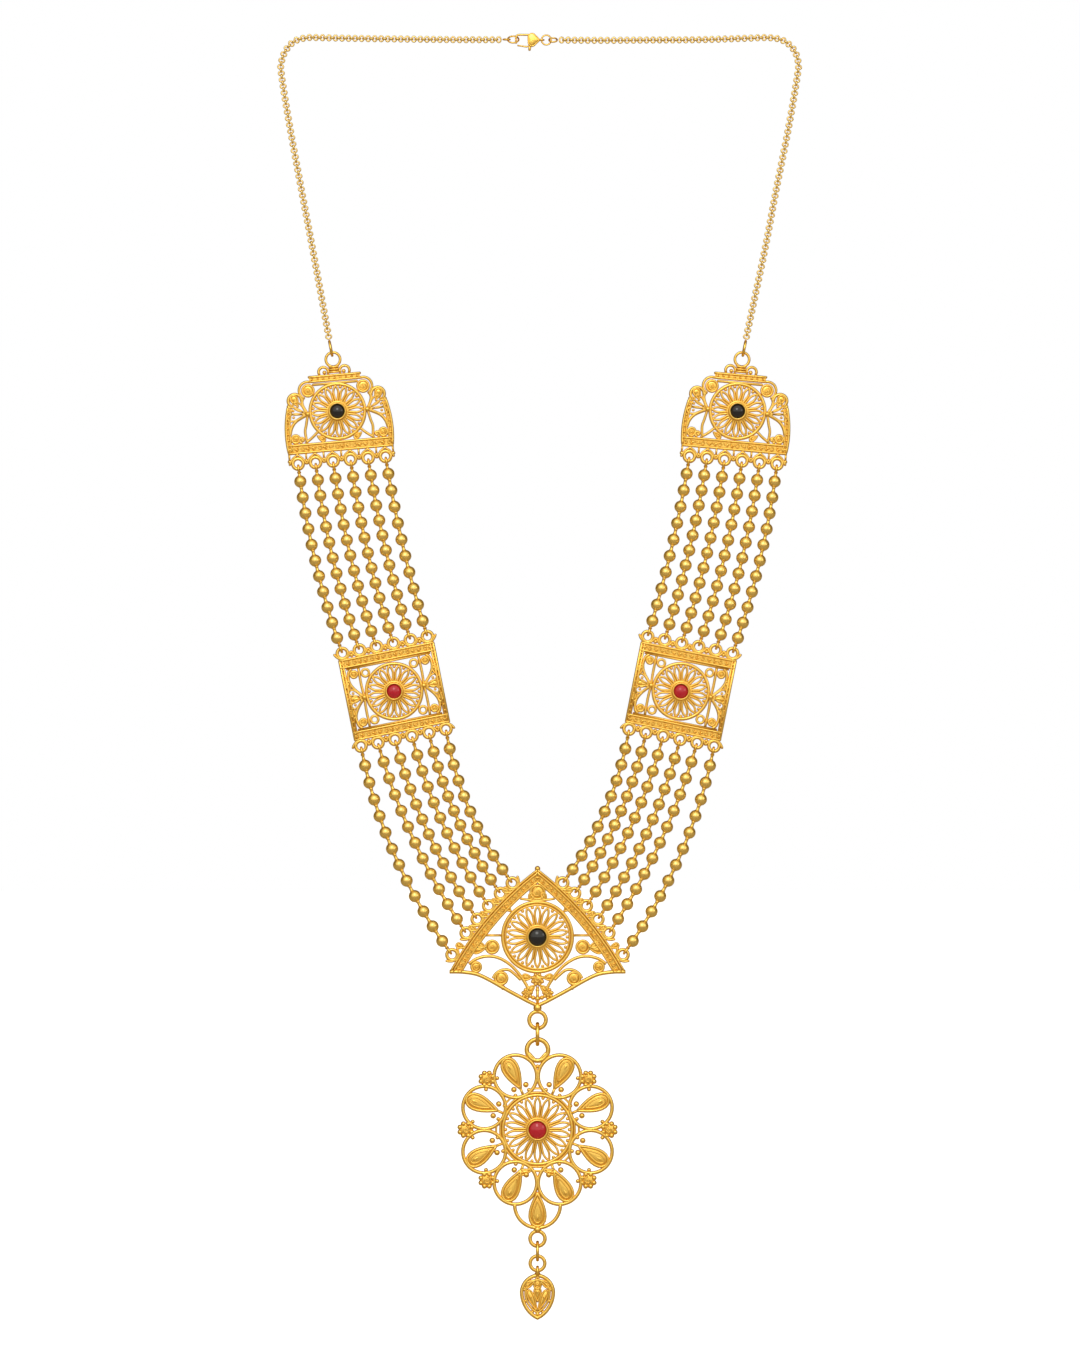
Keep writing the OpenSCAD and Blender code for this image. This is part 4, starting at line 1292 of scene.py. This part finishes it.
class MakeDrop(bpy.types.Operator):
    """Makes the links of the pendant and the leaf drop"""

    bl_idname = "necklace.drop"
    bl_label = "Links and leaf drop"

    def execute(self, context):
        for node, wire, body in (("pendant_link", 1.2, "pendant_link"), ("drop_link", 1.0, "medallion")):
            middle, extent = box_middle(node)
            work = Goldwork()
            work.edge_ring((0, middle[2] / MM), 90, (extent[2] / MM - wire) / 2, wire, sides=12)
            work.piece(f"{node}_wire", upright(), filigree_gold(), [node], body=body)
        middle, extent = box_middle("drop_ring")
        work = Goldwork()
        work.ring((0, middle[2] / MM), (extent[2] / MM - 1.1) / 2, 1.1, sides=12)
        work.piece("drop_ring_wire", upright(), filigree_gold(), ["drop_ring"], body="medallion")
        _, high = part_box("leaf_drop")
        bail_r, bail_wire = 1.21, 0.9
        leaf = leaf_drop(high[2] / MM - bail_r - bail_wire / 2, bail_r, bail_wire)
        leaf.piece("leaf_drop_filigree", upright(), filigree_gold(), ["leaf_drop"], body="medallion")
        return {"FINISHED"}


# Colours of the clouds in the stones.
BLACK_CLOUDS = (0.0016, 0.0016, 0.002)
RED_CLOUDS = (0.16, 0.0008, 0.001)


class SetStones(bpy.types.Operator):
    """Sets the six smooth stones in their cups"""

    bl_idname = "necklace.stones"
    bl_label = "Stones"

    def execute(self, context):
        finish = settings().finish
        black = stone_finish("black_stone", finish.black, BLACK_CLOUDS)
        red = stone_finish("red_stone", finish.red, RED_CLOUDS)
        for node, body in (
            ("left_top_stone", "root"), ("right_top_stone", "root"), ("left_mid_stone", "root"),
            ("right_mid_stone", "root"), ("centre_stone", "root"), ("medallion_stone", "medallion"),
        ):
            middle, extent = box_middle(node)
            _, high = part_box(node)
            red_one = "mid" in node or body == "medallion"
            stone = cabochon(extent[0] / MM / 2, -high[1] / MM)
            stone.piece(
                f"{node}_cabochon", upright(middle[0] / MM, middle[2] / MM), red if red_one else black,
                [node], slot="red_stone" if red_one else "black_stone", body=body,
            )
        return {"FINISHED"}


class ThreadBeads(bpy.types.Operator):
    """Threads the beads of all strings and makes the wires that carry them"""

    bl_idname = "necklace.strings"
    bl_label = "Strings of beads"

    def execute(self, context):
        replaced = {"upper": "upper_end_links", "lower": "lower_threads"}
        for side in SIDES:
            for kind in ("upper", "lower"):
                carrier = Goldwork()
                for number in range(1, STRING_COUNT + 1):
                    line, count, ends = string_line(kind, number)
                    name = f"{side}_{kind}_string_{number}"
                    bead_string(line, count, ends).piece(
                        f"{name}_beads", upright(), bead_gold(), [name], "bead_gold", flip=side == RIGHT
                    )
                    bead_wires(carrier, line, count, ends)
                carrier.piece(
                    f"{side}_{kind}_wires", upright(), filigree_gold(), [f"{side}_{replaced[kind]}"],
                    flip=side == RIGHT,
                )
        return {"FINISHED"}


class LinkChain(bpy.types.Operator):
    """Links the two runs of the neck chain"""

    bl_idname = "necklace.chain"
    bl_label = "Neck chain"

    def execute(self, context):
        for side in SIDES:
            chain_links(side).piece(
                f"{side}_chain_links", upright(), chain_gold(), [f"{side}_chain"], "chain_gold"
            )
        return {"FINISHED"}


class MakeClasp(bpy.types.Operator):
    """Makes the clasp with its heart, hook and lever, and the rings that join it to the chain"""

    bl_idname = "necklace.clasp"
    bl_label = "Clasp and its rings"

    def execute(self, context):
        clasp_body().piece("clasp_heart", upright(), filigree_gold(), ["clasp_body"])
        clasp_lever().piece(
            "clasp_lever_arm", upright(), filigree_gold(), ["clasp_lever"], body="clasp_lever"
        )
        for node, spot, radius, tilt in (
            ("clasp_left_ring", (-7.29, 0.15), 1.65, -48), ("left_clasp_link", (-9.28, 0.15), 1.0, -90),
            ("clasp_right_ring", (2.65, 0), 1.45, 0), ("right_clasp_link", (4.68, 0), 1.2, -55),
        ):
            work = Goldwork()
            work.tilted_ring(spot, radius, CLASP_WIRE, tilt)
            work.piece(f"{node}_wire", upright(), filigree_gold(), [node])
        for side in SIDES:
            hanger_link().piece(
                f"{side}_hanger_ring", upright(), filigree_gold(), [f"{side}_hanger_link"], flip=side == RIGHT
            )
        return {"FINISHED"}


# The studio's brightness, from straight away from an axis (0) to straight along it (1).
TENT_AXIS = (0, -0.93, 0.36)
TENT_STOPS = (
    (0.0, (0.5, 0.36, 0.14)), (0.14, (0.3, 0.2, 0.05)), (0.3, (0.13, 0.075, 0.01)),
    (0.5, (0.18, 0.115, 0.02)), (0.66, (0.28, 0.19, 0.04)), (0.75, (0.66, 0.57, 0.3)),
    (0.84, (1.12, 1.07, 0.88)), (1.0, (1.32, 1.27, 1.1)),
)
OPENING_AXIS = (0.05, -0.93, -0.37)
OPENING_STOPS = (
    (0.0, (1, 1, 1)), (0.97, (1, 1, 1)), (0.98, (0.02, 0.01, 0.0)), (1.0, (0.01, 0.005, 0.0)),
)
# Lights: name, place from the middle of the view and diameter in metres, and power in watts.
SOFTBOXES = (
    ("front_softbox", (-0.1, -0.95, 0.62), 0.5, 2.2),
    ("side_softbox", (0.9, -0.6, 0.3), 0.4, 0.6),
)
FLOOR_HALF = 6.0
FLOOR_COLOUR = (0.62, 0.56, 0.48)
SENSOR_WIDTH = 36.0


class SetStage(bpy.types.Operator):
    """Sets up the pale floor, the soft studio light and the camera in front of the necklace"""

    bl_idname = "necklace.stage"
    bl_label = "Stage"

    def execute(self, context):
        stage = settings().stage
        scene = context.scene
        scene.view_settings.view_transform = "Standard"
        self.floor(cad_bounds[0][2] - stage.floor_gap)
        self.camera(scene, stage)
        self.lights(stage)
        self.world(scene)
        return {"FINISHED"}

    def floor(self, height):
        """A wide pale floor, white to the camera and softly warm to the gold above it."""
        mesh = bpy.data.meshes.new("studio_floor")
        corners = [(x * FLOOR_HALF, y * FLOOR_HALF, height) for x, y in ((-1, -1), (1, -1), (1, 1), (-1, 1))]
        mesh.from_pydata(corners, [], [(0, 1, 2, 3)])
        floor = new_object("studio_floor", mesh)
        material, tree, shader = new_material("studio_floor")
        shader.inputs["Base Color"].default_value = (*FLOOR_COLOUR, 1)
        shader.inputs["Roughness"].default_value = 0.9
        shader.inputs["Emission Strength"].default_value = 1.0
        seen = tree.nodes.new("ShaderNodeLightPath")
        glow = tree.nodes.new("ShaderNodeMix")
        glow.data_type = "RGBA"
        glow.inputs["A"].default_value = (0, 0, 0, 1)
        glow.inputs["B"].default_value = (1, 1, 1, 1)
        tree.links.new(seen.outputs["Is Camera Ray"], glow.inputs["Factor"])
        tree.links.new(glow.outputs["Result"], shader.inputs["Emission Color"])
        mesh.materials.append(material)

    def camera(self, scene, stage):
        data = bpy.data.cameras.new("studio_camera")
        data.lens = stage.lens
        data.sensor_width = SENSOR_WIDTH
        data.clip_end = 50
        camera = new_object("studio_camera", data)
        distance = stage.frame_height * stage.lens / SENSOR_WIDTH
        camera.location = (stage.frame_centre_x, -distance, stage.frame_centre_z)
        camera.rotation_euler = (pi / 2, 0, 0)
        scene.camera = camera

    def lights(self, stage):
        middle = Vector((0, 0, stage.frame_centre_z))
        for name, spot, extent, power in SOFTBOXES:
            data = bpy.data.lights.new(name, "AREA")
            data.shape = "DISK"
            data.size = extent
            data.energy = power
            light = new_object(name, data)
            light.location = Vector(spot) + middle
            light.rotation_euler = (-Vector(spot)).to_track_quat("-Z", "Y").to_euler()

    def world(self, scene):
        """A studio tent, bright in front, dim at the sides and with a dark opening for the camera."""
        world = bpy.data.worlds.new("studio")
        scene.world = world
        world.use_nodes = True
        nodes, links = world.node_tree.nodes, world.node_tree.links
        nodes.clear()
        place = nodes.new("ShaderNodeTexCoord")
        shades = []
        for axis, stops in ((TENT_AXIS, TENT_STOPS), (OPENING_AXIS, OPENING_STOPS)):
            facing = nodes.new("ShaderNodeVectorMath")
            facing.operation = "DOT_PRODUCT"
            facing.inputs[1].default_value = Vector(axis).normalized()
            links.new(place.outputs["Generated"], facing.inputs[0])
            share = nodes.new("ShaderNodeMapRange")
            share.inputs["From Min"].default_value = -1
            links.new(facing.outputs["Value"], share.inputs["Value"])
            ramp = nodes.new("ShaderNodeValToRGB")
            set_ramp(ramp, stops)
            links.new(share.outputs["Result"], ramp.inputs["Fac"])
            shades.append(ramp.outputs["Color"])
        both = nodes.new("ShaderNodeMix")
        both.data_type = "RGBA"
        both.blend_type = "MULTIPLY"
        both.inputs["Factor"].default_value = 1
        links.new(shades[0], both.inputs["A"])
        links.new(shades[1], both.inputs["B"])
        walls = nodes.new("ShaderNodeBackground")
        links.new(both.outputs["Result"], walls.inputs["Color"])
        white = nodes.new("ShaderNodeBackground")
        white.inputs["Color"].default_value = (1, 1, 1, 1)
        seen = nodes.new("ShaderNodeLightPath")
        mix = nodes.new("ShaderNodeMixShader")
        links.new(seen.outputs["Is Camera Ray"], mix.inputs[0])
        links.new(walls.outputs[0], mix.inputs[1])
        links.new(white.outputs[0], mix.inputs[2])
        out = nodes.new("ShaderNodeOutputWorld")
        links.new(mix.outputs[0], out.inputs["Surface"])


OPERATORS = (
    SetStage, MakeClasp, LinkChain, MakeTopPlaques, MakeMiddlePlaques, MakeCentrePlaque, MakeMedallion,
    MakeDrop, SetStones, ThreadBeads,
)


class NecklacePanel(bpy.types.Panel):
    """Lists the steps that dress the necklace, and its sizes"""

    bl_idname = "VIEW3D_PT_necklace"
    bl_label = "Necklace"
    bl_space_type = "VIEW_3D"
    bl_region_type = "UI"
    bl_category = "Necklace"

    def draw(self, context):
        for operator in OPERATORS:
            self.layout.operator(operator.bl_idname)
        for group in (settings().wires, settings().beads, settings().chain, settings().finish):
            box = self.layout.box()
            for name in group.__annotations__:
                box.prop(group, name)


GROUPS = (WireSettings, BeadSettings, ChainSettings, FinishSettings, StageSettings, NecklaceSettings)
CLASSES = (*GROUPS, *OPERATORS, NecklacePanel)


def register():
    for cls in CLASSES:
        bpy.utils.register_class(cls)
    bpy.types.Scene.necklace = bpy.props.PointerProperty(type=NecklaceSettings)


def unregister():
    del bpy.types.Scene.necklace
    for cls in reversed(CLASSES):
        bpy.utils.unregister_class(cls)


def main():
    register()
    for operator in OPERATORS:
        group, name = operator.bl_idname.split(".")
        getattr(getattr(bpy.ops, group), name)()
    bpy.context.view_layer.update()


if __name__ == "__main__":
    main()
